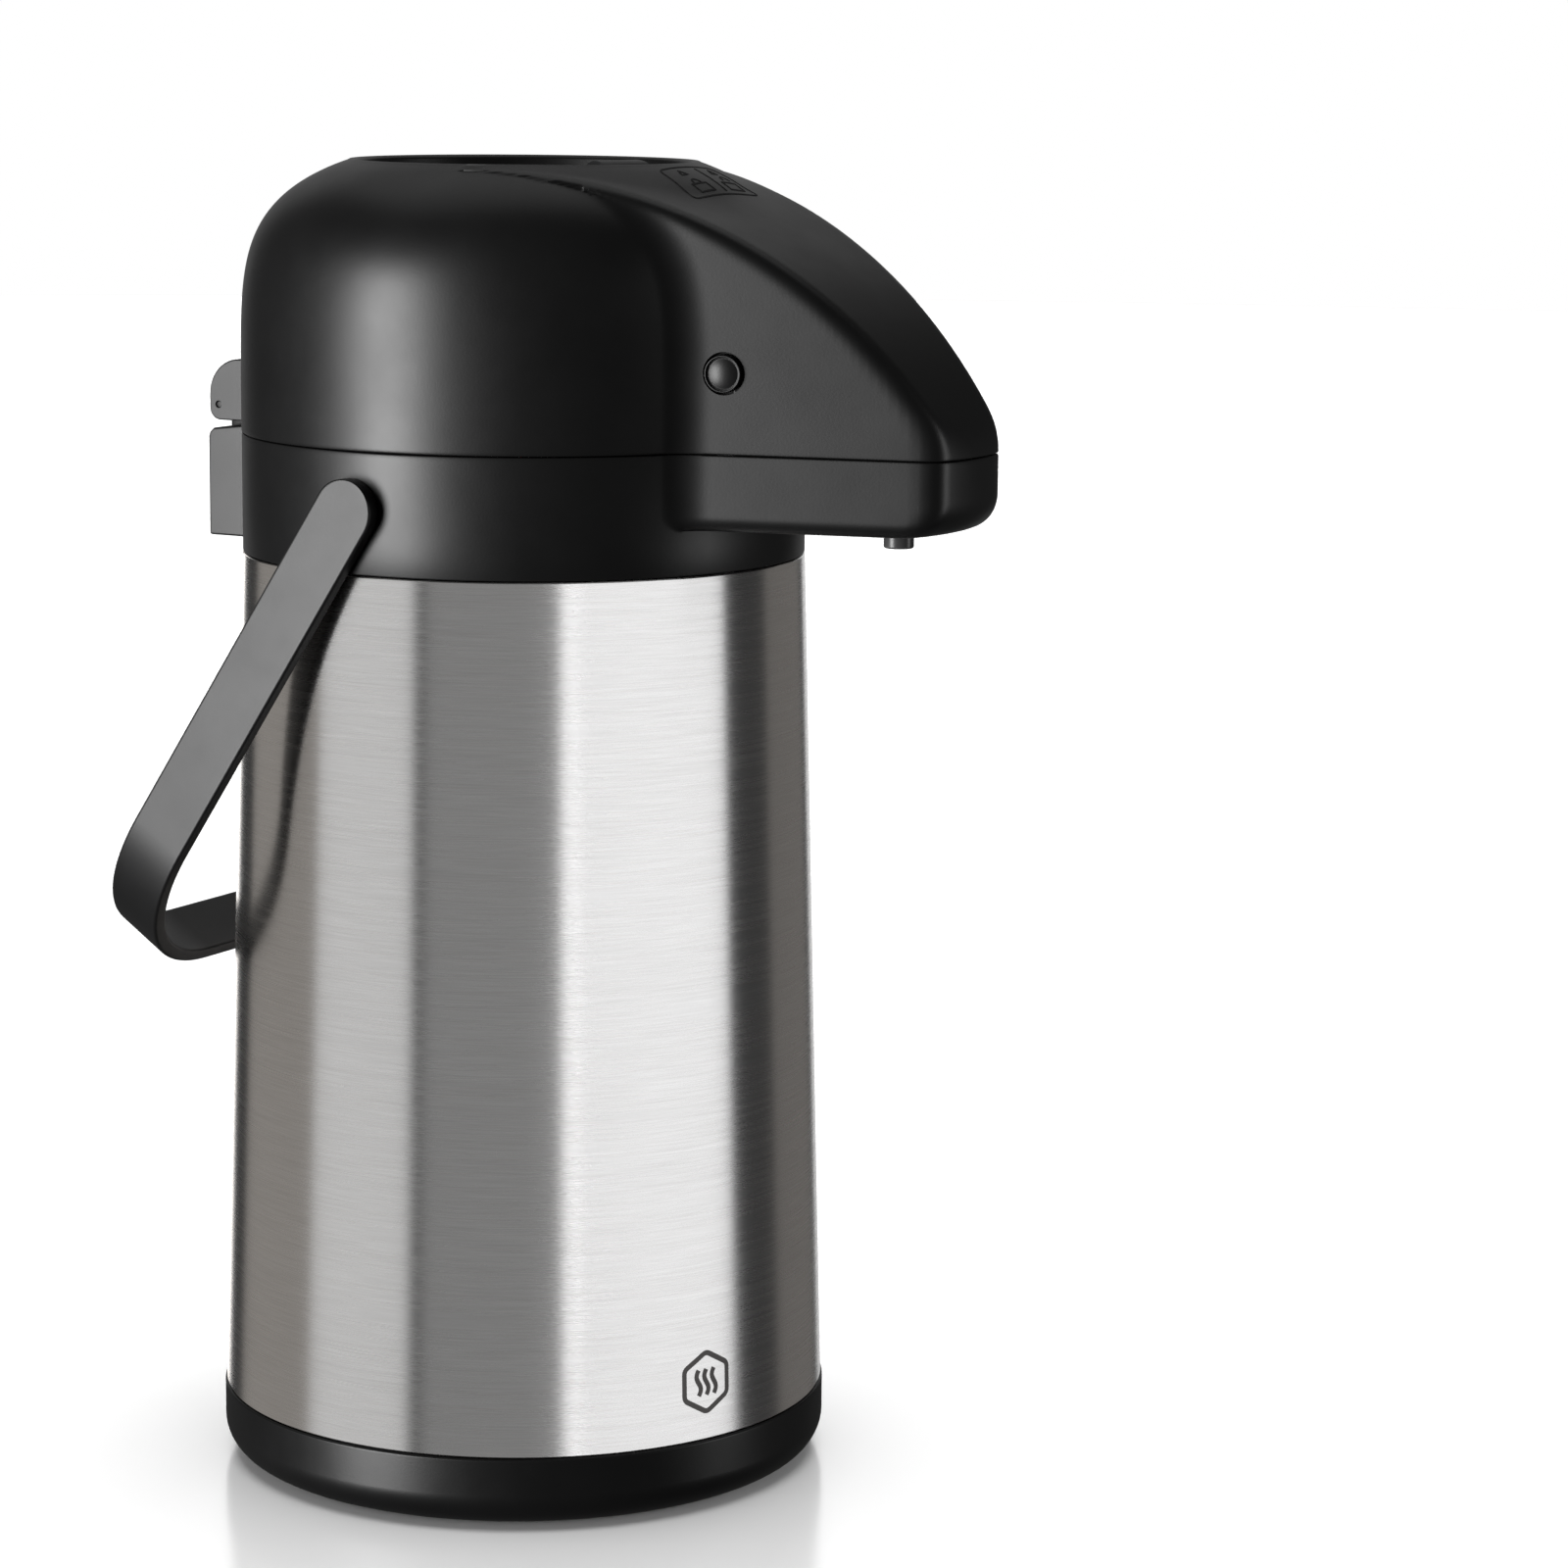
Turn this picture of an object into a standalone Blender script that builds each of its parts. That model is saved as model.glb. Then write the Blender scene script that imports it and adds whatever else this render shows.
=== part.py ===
"""Pump airpot: a double-walled flask with a hinged pump lid, a spout beak and a swinging bail handle.

Units are metres and +Z is up. The origin is the centre of the base's underside. +X points from the
axis to the spout, so the lid's hinge is at -X and the handle's pivots are at -Y and +Y.
"""

import math

import bmesh
import bpy
import numpy as np
from mathutils import Matrix, Vector

# ---- driving dimensions -------------------------------------------------------------------------
GAP = 0.0003  # clearance between pieces that touch on the real object
SEAM_BASE = 0.0205  # heights of the three seams that run round the body
SEAM_COLLAR = 0.2560
SEAM_LID = 0.2888

BASE_RADIUS = 0.0850
BASE_FILLET = 0.0095
FOOT_PROUD = 0.0008
SHELL_RADIUS_LOW = 0.0845
SHELL_RADIUS_HIGH = 0.0778
SHELL_WALL = 0.0008

COLLAR_RADIUS = 0.0777
SKIN = 0.0024  # wall of the plastic mouldings

DOME_RADIUS = 0.0778
DOME_START = 0.2880
DOME_APEX = 0.3697  # height at which the dome's curve would close, above the recess that cuts it
DOME_POWER = 5.6
RIM_TOP = 0.3631
WELL_RADIUS = 0.0455
WELL_WALL = 0.0018
WELL_BOTTOM = 0.2960

BEAK_FRONT = 0.1400
BEAK_ROOT = (0.0701, 0.0346)  # a point on the beak's side wall, in plan
BEAK_TAPER = math.tan(math.radians(13.4))
BEAK_BOTTOM = 0.2683
BEAK_BOW = 7.5  # the front face's fall per metre squared of half-width
BEAK_ARC = (0.0155, 0.2157, 0.1462)  # centre x, centre z and radius of the sloping top, in side view
BEAK_BROW = 0.0035  # rounding where the top meets the front
BEAK_CORNER = 0.0045
BEAK_CORNER_MOST = 0.0090  # the most a sloping top stretches that corner along the side
BEAK_EDGE = 0.0045
BEAK_TOE = 0.0100
BEAK_FILLET = 0.0060

HINGE_X, HINGE_Z = -0.0920, 0.2929
HINGE_HALF = 0.0160
TONGUE_HALF = 0.0050
PIN_RADIUS = 0.0010

NECK_BORE = 0.0290
NECK_TOP = 0.2672
FLASK_RADIUS = 0.0700
JACKET_RADIUS = 0.0745

NOZZLE_X = 0.1167
NOZZLE_RADIUS = 0.00405
NOZZLE_END = 0.2637
PIPE_Z = 0.2775
PIPE_RADIUS = 0.0028

PLATE_TOP = 0.3606
PLATE_RADIUS = 0.0449
LOCK_MIDDLE = 0.0360
LOCK_AZIMUTH = math.radians(-14)
LOCK_HALF_ARC = math.radians(13)
LOCK_TRAVEL = math.radians(28)

BUTTON_X, BUTTON_Z = 0.0811, 0.3102
BUTTON_RADIUS = 0.0049
BUTTON_PROUD = 0.0015

HANDLE_PIVOT = (-0.0050, 0.2731)  # x and z
HANDLE_HALF_SPAN = 0.0826
HANDLE_REACH = 0.1571
HANDLE_SLOPE = math.radians(56.5)  # how far the bail hangs below horizontal, towards the rear
HANDLE_WIDTH = 0.0176
HANDLE_THICKNESS = 0.0042
HANDLE_CORNER = 0.0467

ROUND_SEGMENTS = 48
INNER_SEGMENTS = 24
SMALL_SEGMENTS = 12
HOLE_PHASE = 0.11


# ---- materials ----------------------------------------------------------------------------------
def material(name, colour, roughness, metallic=0.0):
    """A Principled material, made once and shared by every piece that names it."""
    found = bpy.data.materials.get(name)
    if found:
        return found
    made = bpy.data.materials.new(name)
    made.use_nodes = True
    shader = made.node_tree.nodes["Principled BSDF"]
    shader.inputs["Base Color"].default_value = (*colour, 1.0)
    shader.inputs["Roughness"].default_value = roughness
    shader.inputs["Metallic"].default_value = metallic
    made.diffuse_color = (*colour, 1.0)
    return made


def black_plastic():
    return material("black_plastic", (0.018, 0.018, 0.019), 0.38)


def inner_plastic():
    return material("inner_plastic", (0.03, 0.03, 0.032), 0.5)


def steel():
    return material("brushed_steel", (0.62, 0.60, 0.57), 0.28, 1.0)


def spring_steel():
    return material("spring_steel", (0.5, 0.5, 0.5), 0.3, 1.0)


def rubber():
    return material("black_rubber", (0.02, 0.02, 0.02), 0.8)


def silicone():
    return material("silicone", (0.55, 0.54, 0.5), 0.55)


# ---- mesh helpers -------------------------------------------------------------------------------
def solid(name, verts, faces, look):
    """An object from vertices and faces. Points that coincide become one, and faces that collapse go."""
    mesh = bpy.data.meshes.new(name)
    bm = bmesh.new()
    made = [bm.verts.new(v) for v in verts]
    for face in faces:
        corners = [made[i] for i in face]
        if len(set(corners)) >= 3:
            bm.faces.new(corners)
    bmesh.ops.remove_doubles(bm, verts=bm.verts, dist=2e-6)
    bmesh.ops.recalc_face_normals(bm, faces=bm.faces)
    bm.to_mesh(mesh)
    bm.free()
    mesh.shade_smooth()
    mesh.set_sharp_from_angle(angle=math.radians(32))
    mesh.materials.append(look)
    obj = bpy.data.objects.new(name, mesh)
    bpy.context.scene.collection.objects.link(obj)
    return obj


def rings_to_faces(rings, count, closed):
    """Quads between neighbouring rings of count points, and back to the first ring if closed."""
    faces = []
    for i in range(rings if closed else rings - 1):
        j = (i + 1) % rings
        for k in range(count):
            m = (k + 1) % count
            faces.append((i * count + k, i * count + m, j * count + m, j * count + k))
    return faces


def frame_on(point, axis):
    """A matrix that puts local +Z along axis, at point."""
    turn = Vector((0, 0, 1)).rotation_difference(Vector(axis)).to_matrix().to_4x4()
    return Matrix.Translation(point) @ turn


def turned(name, profile, look, segments=ROUND_SEGMENTS, point=(0, 0, 0), axis=(0, 0, 1), phase=0.0):
    """A piece turned from an outline of (radius, height) about an axis.

    An outline that starts and ends on the axis closes there; any other closes on itself as a ring.
    phase turns its facets, so that a hole's edges don't run along those of the piece it is cut from.
    """
    open_ended = profile[0][0] == 0 and profile[-1][0] == 0
    place = frame_on(point, axis)
    verts = []
    for r, z in profile:
        for k in range(segments):
            a = phase + 2 * math.pi * k / segments
            verts.append(place @ Vector((r * math.cos(a), r * math.sin(a), z)))
    faces = rings_to_faces(len(profile), segments, closed=not open_ended)
    return solid(name, verts, faces, look)


def rod(name, start, end, radius, look, segments=SMALL_SEGMENTS):
    """A plain round bar between two points."""
    start, end = Vector(start), Vector(end)
    length = (end - start).length
    outline = [(0, 0), (radius, 0), (radius, length), (0, length)]
    return turned(name, outline, look, segments, start, (end - start).normalized(), HOLE_PHASE)


def arc(cx, cz, rx, rz, start, end, steps):
    """Points of an elliptical arc in the outline's plane, angles in degrees."""
    angles = [math.radians(start + (end - start) * i / steps) for i in range(steps + 1)]
    return [(cx + rx * math.cos(a), cz + rz * math.sin(a)) for a in angles]


def prism(name, outline, low, high, look, bevel=0.0):
    """An outline of (x, z) points, extruded along Y from low to high, with rounded edges."""
    count = len(outline)
    verts = [(x, low, z) for x, z in outline] + [(x, high, z) for x, z in outline]
    faces = [tuple(range(count)), tuple(range(2 * count - 1, count - 1, -1))]
    faces += [(i, (i + 1) % count, (i + 1) % count + count, i + count) for i in range(count)]
    obj = solid(name, verts, faces, look)
    if bevel:
        rounding = obj.modifiers.new("rounding", "BEVEL")
        rounding.width = bevel
        rounding.segments = 2
        rounding.limit_method = "ANGLE"
        rounding.angle_limit = math.radians(50)
    return obj


def cutter_look():
    return material("cutter", (1, 0, 0), 0.5)


def cut(obj, cutter):
    """Takes cutter away from obj, and leaves cutter as a wire guide."""
    cutter.hide_render = True
    cutter.display_type = "WIRE"
    step = obj.modifiers.new("cut_" + cutter.name, "BOOLEAN")
    step.operation = "DIFFERENCE"
    step.object = cutter


def join(obj, other):
    """Adds other to obj, and leaves other as a wire guide."""
    other.hide_render = True
    other.display_type = "WIRE"
    step = obj.modifiers.new("join_" + other.name, "BOOLEAN")
    step.operation = "UNION"
    step.object = other


def drill(obj, start, end, radius, segments=SMALL_SEGMENTS):
    """A round hole in obj between two points."""
    name = f"{obj.name}_hole_{len(obj.modifiers)}"
    cut(obj, rod(name, start, end, radius, cutter_look(), segments))


def tube_along(name, points, outer, inner, look, sides=10):
    """A round tube along points in the XZ plane. With no inner radius it is a solid bar."""
    points = [Vector((x, 0, z)) for x, z in points]
    rings = []
    for radius in (outer, inner):
        if not radius:
            continue
        for i, p in enumerate(points):
            along = (points[min(i + 1, len(points) - 1)] - points[max(i - 1, 0)]).normalized()
            side = along.cross(Vector((0, 1, 0)))
            for k in range(sides):
                a = 2 * math.pi * k / sides
                rings.append(p + radius * (math.cos(a) * side + math.sin(a) * Vector((0, 1, 0))))
    n = len(points)
    first = list(range(n))
    order = first + list(range(2 * n - 1, n - 1, -1))
    verts = [rings[i * sides + k] for i in order for k in range(sides)]
    return solid(name, verts, rings_to_faces(len(order), sides, closed=True), look)


# ---- the lid's and collar's shared plan: a circle with a tapering beak --------------------------
def plan_angles():
    """Directions round the axis, close together across the beak and wide apart round the back."""
    half = [math.radians(3 * i) for i in range(13)]
    half += [math.radians(36 + 12 * i) for i in range(1, 12)]
    return np.array([-a for a in half[:0:-1]] + half + [math.pi])


def beak_reach(z, half_width=0.0):
    """How far the beak reaches at a height: a toe radius, a bowed upright face, then the sloping top."""
    face = BEAK_FRONT - BEAK_BOW * half_width**2
    if z < BEAK_BOTTOM + BEAK_TOE:
        drop = BEAK_TOE - (z - BEAK_BOTTOM)
        return face - BEAK_TOE + math.sqrt(max(BEAK_TOE**2 - drop**2, 0))
    arc_x, arc_z, arc_radius = BEAK_ARC
    top = arc_x + math.sqrt(max(arc_radius**2 - (z - arc_z) ** 2, 0))
    overlap = max(BEAK_BROW - abs(face - top), 0) / BEAK_BROW
    return min(face, top) - overlap**2 * BEAK_BROW / 4


def beak_inset(z):
    """How far the rounding under the beak pulls its side walls in."""
    if z >= BEAK_BOTTOM + BEAK_EDGE:
        return 0.0
    drop = BEAK_EDGE - (z - BEAK_BOTTOM)
    return BEAK_EDGE - math.sqrt(max(BEAK_EDGE**2 - drop**2, 0))


def beak_radius(angles, z, shift, inset):
    """Distance from the axis to the beak's outline in each direction.

    The half outline is the bowed front, a rounded corner and the straight tapering side. shift pulls
    the front in, and inset the side. A sloping top stretches the corner along the side.
    """
    def side_at(x):
        return BEAK_ROOT[1] - inset - BEAK_TAPER * (x - BEAK_ROOT[0])

    def front_at(y):
        return beak_reach(z + (shift if z > SEAM_LID else 0), y) - shift

    steepness = (beak_reach(z) - beak_reach(z + 0.001)) / 0.001
    along = min(BEAK_CORNER * math.sqrt(1 + max(steepness, 0) ** 2), BEAK_CORNER_MOST)
    corner_y = side_at(front_at(0.02))
    start_y = max(corner_y - BEAK_CORNER, 0.001)
    start = np.array([front_at(start_y), start_y])
    bend = np.array([front_at(corner_y), corner_y])
    end_x = max(bend[0] - along, 0.01)
    end = np.array([end_x, side_at(end_x)])
    points = [np.array([front_at(start_y * i / 4), start_y * i / 4]) for i in range(4)]
    for i in range(9):
        t = i / 8
        points.append((1 - t) ** 2 * start + 2 * t * (1 - t) * bend + t * t * end)
    points += [np.array([end_x * (1 - i / 12), side_at(end_x * (1 - i / 12))]) for i in range(1, 13)]
    points = np.array(points)
    bearing = np.arctan2(points[:, 1], points[:, 0])
    distance = np.hypot(points[:, 0], points[:, 1])
    return np.interp(np.abs(angles), bearing, distance, right=0.0)


def blended(a, b, width):
    """The larger of two distances, with the inner corner between them filled."""
    overlap = np.maximum(width - np.abs(a - b), 0) / width
    return np.maximum(a, b) + overlap**2 * width / 4


def plan_radius(angles, circle, z, wall=0.0):
    """The outline at a height: the circle and the beak, run together with a fillet."""
    beak = beak_radius(angles, z, wall, wall + beak_inset(z))
    return blended(np.full_like(angles, circle), beak, BEAK_FILLET)


def dome_radius(z, inset=0.0):
    """The lid's dome, a flat-sided curve that closes above the recess."""
    rise = (z - DOME_START) / (DOME_APEX - inset - DOME_START)
    return (DOME_RADIUS - inset) * math.sqrt(max(1 - max(rise, 0) ** DOME_POWER, 0))


def dome_height(radius, inset=0.0):
    """The height at which the dome has a radius."""
    share = 1 - (radius / (DOME_RADIUS - inset)) ** 2
    return DOME_START + (DOME_APEX - inset - DOME_START) * share ** (1 / DOME_POWER)


def stacked(name, levels, look):
    """A closed shell through a loop of levels, each a height and a distance in every direction."""
    angles = plan_angles()
    verts = []
    for z, distance in levels:
        distance = np.broadcast_to(distance, angles.shape)
        verts += [(r * math.cos(a), r * math.sin(a), z) for r, a in zip(distance, angles)]
    return solid(name, verts, rings_to_faces(len(levels), len(angles), closed=True), look)


# ---- vessel -------------------------------------------------------------------------------------
SCREW_CIRCLE = 0.0600
SCREW_SHANK = 0.0016
SCREW_HEAD = 0.0036
BASE_FLOOR = 0.0050
PAD_RADIUS, PAD_TOP = 0.0730, 0.0023
COUNTERBORE = 0.0060
LEDGE_RADIUS = 0.0834  # the base's spigot, inside the steel shell
POST_TOP = 0.0224


def ring_places(count, radius, first=0.0):
    """Points evenly round the axis."""
    turns = [first + 2 * math.pi * i / count for i in range(count)]
    return [(radius * math.cos(a), radius * math.sin(a)) for a in turns]


def base_screw_places():
    return ring_places(3, SCREW_CIRCLE, math.radians(18.75))


def base_cup():
    """The moulded foot: a shallow cup with a spigot inside the shell and three screw posts."""
    spigot_wall = 0.0020
    outline = [(0, PAD_TOP + GAP), (PAD_RADIUS + GAP, PAD_TOP + GAP), (PAD_RADIUS + GAP, FOOT_PROUD)]
    corner_radius = BASE_RADIUS - BASE_FILLET
    outline += arc(corner_radius, FOOT_PROUD + BASE_FILLET, BASE_FILLET, BASE_FILLET, -90, 0, 4)
    outline += [(BASE_RADIUS, SEAM_BASE), (LEDGE_RADIUS, SEAM_BASE), (LEDGE_RADIUS, 0.0275)]
    outline += [(LEDGE_RADIUS - spigot_wall, 0.0275), (LEDGE_RADIUS - spigot_wall, 0.0100)]
    outline += [(0.0755, BASE_FLOOR), (0, BASE_FLOOR)]
    cup = turned("base_cup", outline, black_plastic())
    for i, (x, y) in enumerate(base_screw_places()):
        join(cup, rod(f"post_{i}", (x, y, BASE_FLOOR - 0.001), (x, y, POST_TOP), 0.0058, cutter_look(), 10))
    for x, y in base_screw_places():
        drill(cup, (x, y, 0.0010), (x, y, COUNTERBORE), SCREW_HEAD + GAP, 10)
        drill(cup, (x, y, 0.0040), (x, y, 0.0300), SCREW_SHANK + GAP, 8)


def screw(name, point, axis, length):
    """A round-headed screw: point is under its head, and the shank runs along axis."""
    back = -0.0018
    outline = [(0, back), (SCREW_HEAD * 0.7, back), (SCREW_HEAD, back * 0.4), (SCREW_HEAD, 0)]
    outline += [(SCREW_SHANK, 0), (SCREW_SHANK, length * 0.92), (0, length)]
    return turned(name, outline, spring_steel(), 8, point, axis)


def base_pieces():
    base_cup()
    turned("foot_pad", [(0, 0), (PAD_RADIUS, 0), (PAD_RADIUS, PAD_TOP), (0, PAD_TOP)], rubber(), 36)
    plate = turned("bottom_plate", [(0, 0.0227), (0.0809, 0.0227), (0.0809, 0.0237), (0, 0.0237)], steel())
    for i, (x, y) in enumerate(base_screw_places()):
        drill(plate, (x, y, 0.0200), (x, y, 0.0260), SCREW_SHANK + GAP, 8)
        screw(f"base_screw_{i + 1}", (x, y, COUNTERBORE - GAP), (0, 0, 1), 0.0190)


def outer_shell():
    low, high = SEAM_BASE + GAP, SEAM_COLLAR
    outline = [(SHELL_RADIUS_LOW - SHELL_WALL, low), (SHELL_RADIUS_LOW, low)]
    outline += [(SHELL_RADIUS_HIGH, high), (SHELL_RADIUS_HIGH - SHELL_WALL, high)]
    turned("outer_shell", outline, steel())


def vessel(name, radius, floor, bend, shoulder_low, neck, neck_low, wall, look):
    """A thin-walled bottle that stands open at its neck."""
    def side(r, z, b, low, n, top):
        points = [(0, z), (r - b, z)] + arc(r - b, z + b, b, b, -90, 0, 3)[1:]
        points += arc(n, low, r - n, top - low, 0, 90, 4)
        return points + [(n, NECK_TOP)]

    outside = side(radius, floor, bend, shoulder_low, neck, neck_low)
    inside = side(radius - wall, floor + wall, bend - wall, shoulder_low, neck - wall, neck_low - wall)
    turned(name, outside + inside[::-1], look, INNER_SEGMENTS)


def vessel_pieces():
    outer_shell()
    vessel("vacuum_jacket", JACKET_RADIUS, 0.0290, 0.020, 0.2240, 0.0312, 0.2565, 0.0009, steel())
    vessel("inner_flask", FLASK_RADIUS, 0.0345, 0.020, 0.2200, 0.0299, 0.2520, 0.0009, steel())
    pad = [(0.0280, 0.0240), (0.0500, 0.0240), (0.0500, 0.0287), (0.0280, 0.0287)]
    turned("flask_pad", pad, rubber(), INNER_SEGMENTS)


# ---- collar and what it carries -----------------------------------------------------------------
STUD_RADIUS = 0.0025
BUSH_RADIUS = 0.0042
HINGE_SCREW_Y, HINGE_SCREW_Z = 0.0090, 0.2722


def collar():
    """The moulded ring above the shell, with the lower half of the beak as a tray."""
    low, high = SEAM_COLLAR + GAP, SEAM_LID - GAP / 2
    angles = plan_angles()
    outside = [(low, COLLAR_RADIUS), (BEAK_BOTTOM, COLLAR_RADIUS)]
    for z in (BEAK_BOTTOM, 0.2695, 0.2710, BEAK_BOTTOM + BEAK_EDGE, 0.2788, high):
        outside.append((z, plan_radius(angles, COLLAR_RADIUS, z)))
    inner = COLLAR_RADIUS - SKIN
    tray = BEAK_BOTTOM + SKIN
    inside = [(high, plan_radius(angles, inner, high, SKIN))]
    for z in (0.2780, 0.2740, tray):
        inside.append((z, plan_radius(angles, inner, z, SKIN)))
    inside += [(tray, inner), (low, inner)]
    ring = stacked("collar", outside + inside, black_plastic())
    drill(ring, (NOZZLE_X, 0, 0.26), (NOZZLE_X, 0, 0.28), NOZZLE_RADIUS + 0.0004, 16)
    x, z = HANDLE_PIVOT
    for side in (-1, 1):
        drill(ring, (x, side * 0.070, z), (x, side * 0.085, z), BUSH_RADIUS + GAP, 16)
        start = (-0.070, side * HINGE_SCREW_Y, HINGE_SCREW_Z)
        drill(ring, start, (-0.082, side * HINGE_SCREW_Y, HINGE_SCREW_Z), SCREW_SHANK + GAP, 8)


def hinge_bracket():
    """The block behind the collar, with the tongue that carries the hinge pin."""
    outer = -0.0957
    outline = [(-0.0700, 0.2557), (outer, 0.2557), (outer, 0.2846), (-0.0945, 0.2862)]
    outline += [(-0.0800, 0.2878), (-0.0700, 0.2878)]
    block = prism("hinge_bracket", outline, -HINGE_HALF, HINGE_HALF, black_plastic(), 0.0010)
    tongue_radius = 0.0036
    tongue = arc(HINGE_X, HINGE_Z, tongue_radius, tongue_radius, 0, 180, 8)
    tongue += [(HINGE_X - tongue_radius, 0.2800), (HINGE_X + tongue_radius, 0.2800)]
    join(block, prism("tongue", tongue, -TONGUE_HALF, TONGUE_HALF, cutter_look()))
    fit = COLLAR_RADIUS + GAP
    cut(block, rod("collar_room", (0, 0, 0.24), (0, 0, 0.30), fit, cutter_look(), 96))
    drill(block, (HINGE_X, -0.02, HINGE_Z), (HINGE_X, 0.02, HINGE_Z), PIN_RADIUS + 0.0001)
    for side in (-1, 1):
        start = (-0.070, side * HINGE_SCREW_Y, HINGE_SCREW_Z)
        drill(block, start, (-0.0905, side * HINGE_SCREW_Y, HINGE_SCREW_Z), SCREW_SHANK + GAP, 8)
        point = (-0.0738, side * HINGE_SCREW_Y, HINGE_SCREW_Z)
        screw(f"hinge_screw_{'near' if side < 0 else 'far'}", point, (-1, 0, 0), 0.0160)
    end = HINGE_HALF - 0.0004
    rod("hinge_pin", (HINGE_X, -end, HINGE_Z), (HINGE_X, end, HINGE_Z), PIN_RADIUS, spring_steel())


def handle_bushes():
    """Flanged sleeves through the collar that the handle's studs turn in."""
    x, z = HANDLE_PIVOT
    bore = STUD_RADIUS + 0.0001
    outline = [(bore, 0), (BUSH_RADIUS + 0.0018, 0), (BUSH_RADIUS + 0.0018, 0.0012)]
    outline += [(BUSH_RADIUS, 0.0012), (BUSH_RADIUS, 0.0052), (bore, 0.0052)]
    for side, word in ((-1, "near"), (1, "far")):
        turned(f"handle_bush_{word}", outline, inner_plastic(), 16, (x, side * 0.0728, z), (0, side, 0))


def siphon_pieces():
    """The stopper in the neck, with the dip tube below it and the spout pipe ahead of it."""
    head_low, head_high, rim = NECK_TOP + 0.0026, 0.2826, 0.0335
    plug = NECK_BORE - 0.0007
    outline = [(0, 0.2520), (plug, 0.2520), (plug, head_low), (rim, head_low)]
    outline += [(rim, head_high), (0, head_high)]
    head = turned("siphon_head", outline, inner_plastic(), 32)
    drill(head, (0, 0, 0.24), (0, 0, PIPE_Z + 0.001), 0.0043)
    drill(head, (0, 0, PIPE_Z), (0.04, 0, PIPE_Z), PIPE_RADIUS)
    drill(head, (-0.016, 0, 0.24), (-0.016, 0, 0.30), 0.0035)
    seal = [(0.0298, NECK_TOP + GAP), (0.0325, NECK_TOP + GAP)]
    seal += [(0.0325, head_low - GAP), (0.0298, head_low - GAP)]
    turned("neck_seal", seal, silicone(), INNER_SEGMENTS)
    tube = [(0.0029, 0.0420), (0.0040, 0.0420), (0.0040, 0.2740), (0.0029, 0.2740)]
    turned("dip_tube", tube, steel(), SMALL_SEGMENTS)
    bend = 0.0045
    route = [(rim + GAP, PIPE_Z), (0.070, PIPE_Z)]
    route += arc(NOZZLE_X - bend, PIPE_Z - bend, bend, bend, 90, 0, 5)
    route += [(NOZZLE_X, NOZZLE_END + 0.0012)]
    tube_along("spout_pipe", route, PIPE_RADIUS, PIPE_RADIUS - 0.0008, inner_plastic())
    inner, tray = PIPE_RADIUS + GAP, BEAK_BOTTOM + SKIN + GAP
    tip = [(inner, NOZZLE_END), (NOZZLE_RADIUS - 0.0003, NOZZLE_END)]
    tip += [(NOZZLE_RADIUS, NOZZLE_END + 0.0004), (NOZZLE_RADIUS, tray), (0.0062, tray)]
    tip += [(0.0062, tray + 0.0010), (inner, tray + 0.0010)]
    turned("nozzle", tip, inner_plastic(), 20, (NOZZLE_X, 0, 0))


def collar_pieces():
    collar()
    inner = COLLAR_RADIUS - SKIN - 0.0011
    plate = [(0.0318, 0.2630), (inner - 0.002, 0.2630), (inner, 0.2650), (inner, 0.2660), (0.0318, 0.2660)]
    turned("shoulder_plate", plate, inner_plastic(), 32)
    hinge_bracket()
    handle_bushes()
    siphon_pieces()


# ---- lid ----------------------------------------------------------------------------------------
LID_LOW = SEAM_LID + GAP / 2
LID_FLOOR = 0.2924
WELL_FLANGE = 0.0560
LID_SCREW_CIRCLE = 0.0520


def lid_screw_places():
    return ring_places(4, LID_SCREW_CIRCLE, math.radians(49.5))


def side_normal(side):
    """The outward direction of the beak's side wall."""
    length = math.hypot(1, BEAK_TAPER)
    return Vector((BEAK_TAPER / length, side / length, 0))


def button_centre(side):
    """The middle of a release button, on the beak's side wall."""
    y = BEAK_ROOT[1] - BEAK_TAPER * (BUTTON_X - BEAK_ROOT[0])
    return Vector((BUTTON_X, side * y, BUTTON_Z))


def lid_lug(shell):
    """Two hinge cheeks behind the dome, with a slot between them for the tongue."""
    top, outer, bottom = 0.3059, -0.0951, SEAM_LID - 0.0003
    corner, toe = 0.0100, 0.0034
    outline = [(-0.0700, top)] + arc(outer + corner, top - corner, corner, corner, 90, 180, 6)
    outline += arc(outer + toe, bottom + toe, toe, toe, 180, 270, 4)
    outline += [(-0.0790, bottom), (-0.0752, LID_LOW + 0.0010), (-0.0700, LID_LOW + 0.0010)]
    lug = prism("lug", outline, -HINGE_HALF, HINGE_HALF, cutter_look(), 0.0008)
    skin_middle = DOME_RADIUS - SKIN + 0.0003
    cut(lug, rod("lid_room", (0, 0, 0.2700), (0, 0, 0.3200), skin_middle, cutter_look(), 96))
    join(shell, lug)
    room = 0.0042
    slot = [(-0.1000, 0.2800), (HINGE_X + room, 0.2800), (HINGE_X + room, HINGE_Z + room)]
    slot += [(-0.1000, HINGE_Z + room)]
    half = TONGUE_HALF + GAP
    cut(shell, prism("tongue_slot", slot, -half, half, cutter_look()))
    drill(shell, (HINGE_X, -0.02, HINGE_Z), (HINGE_X, 0.02, HINGE_Z), PIN_RADIUS + 0.0001)


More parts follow.
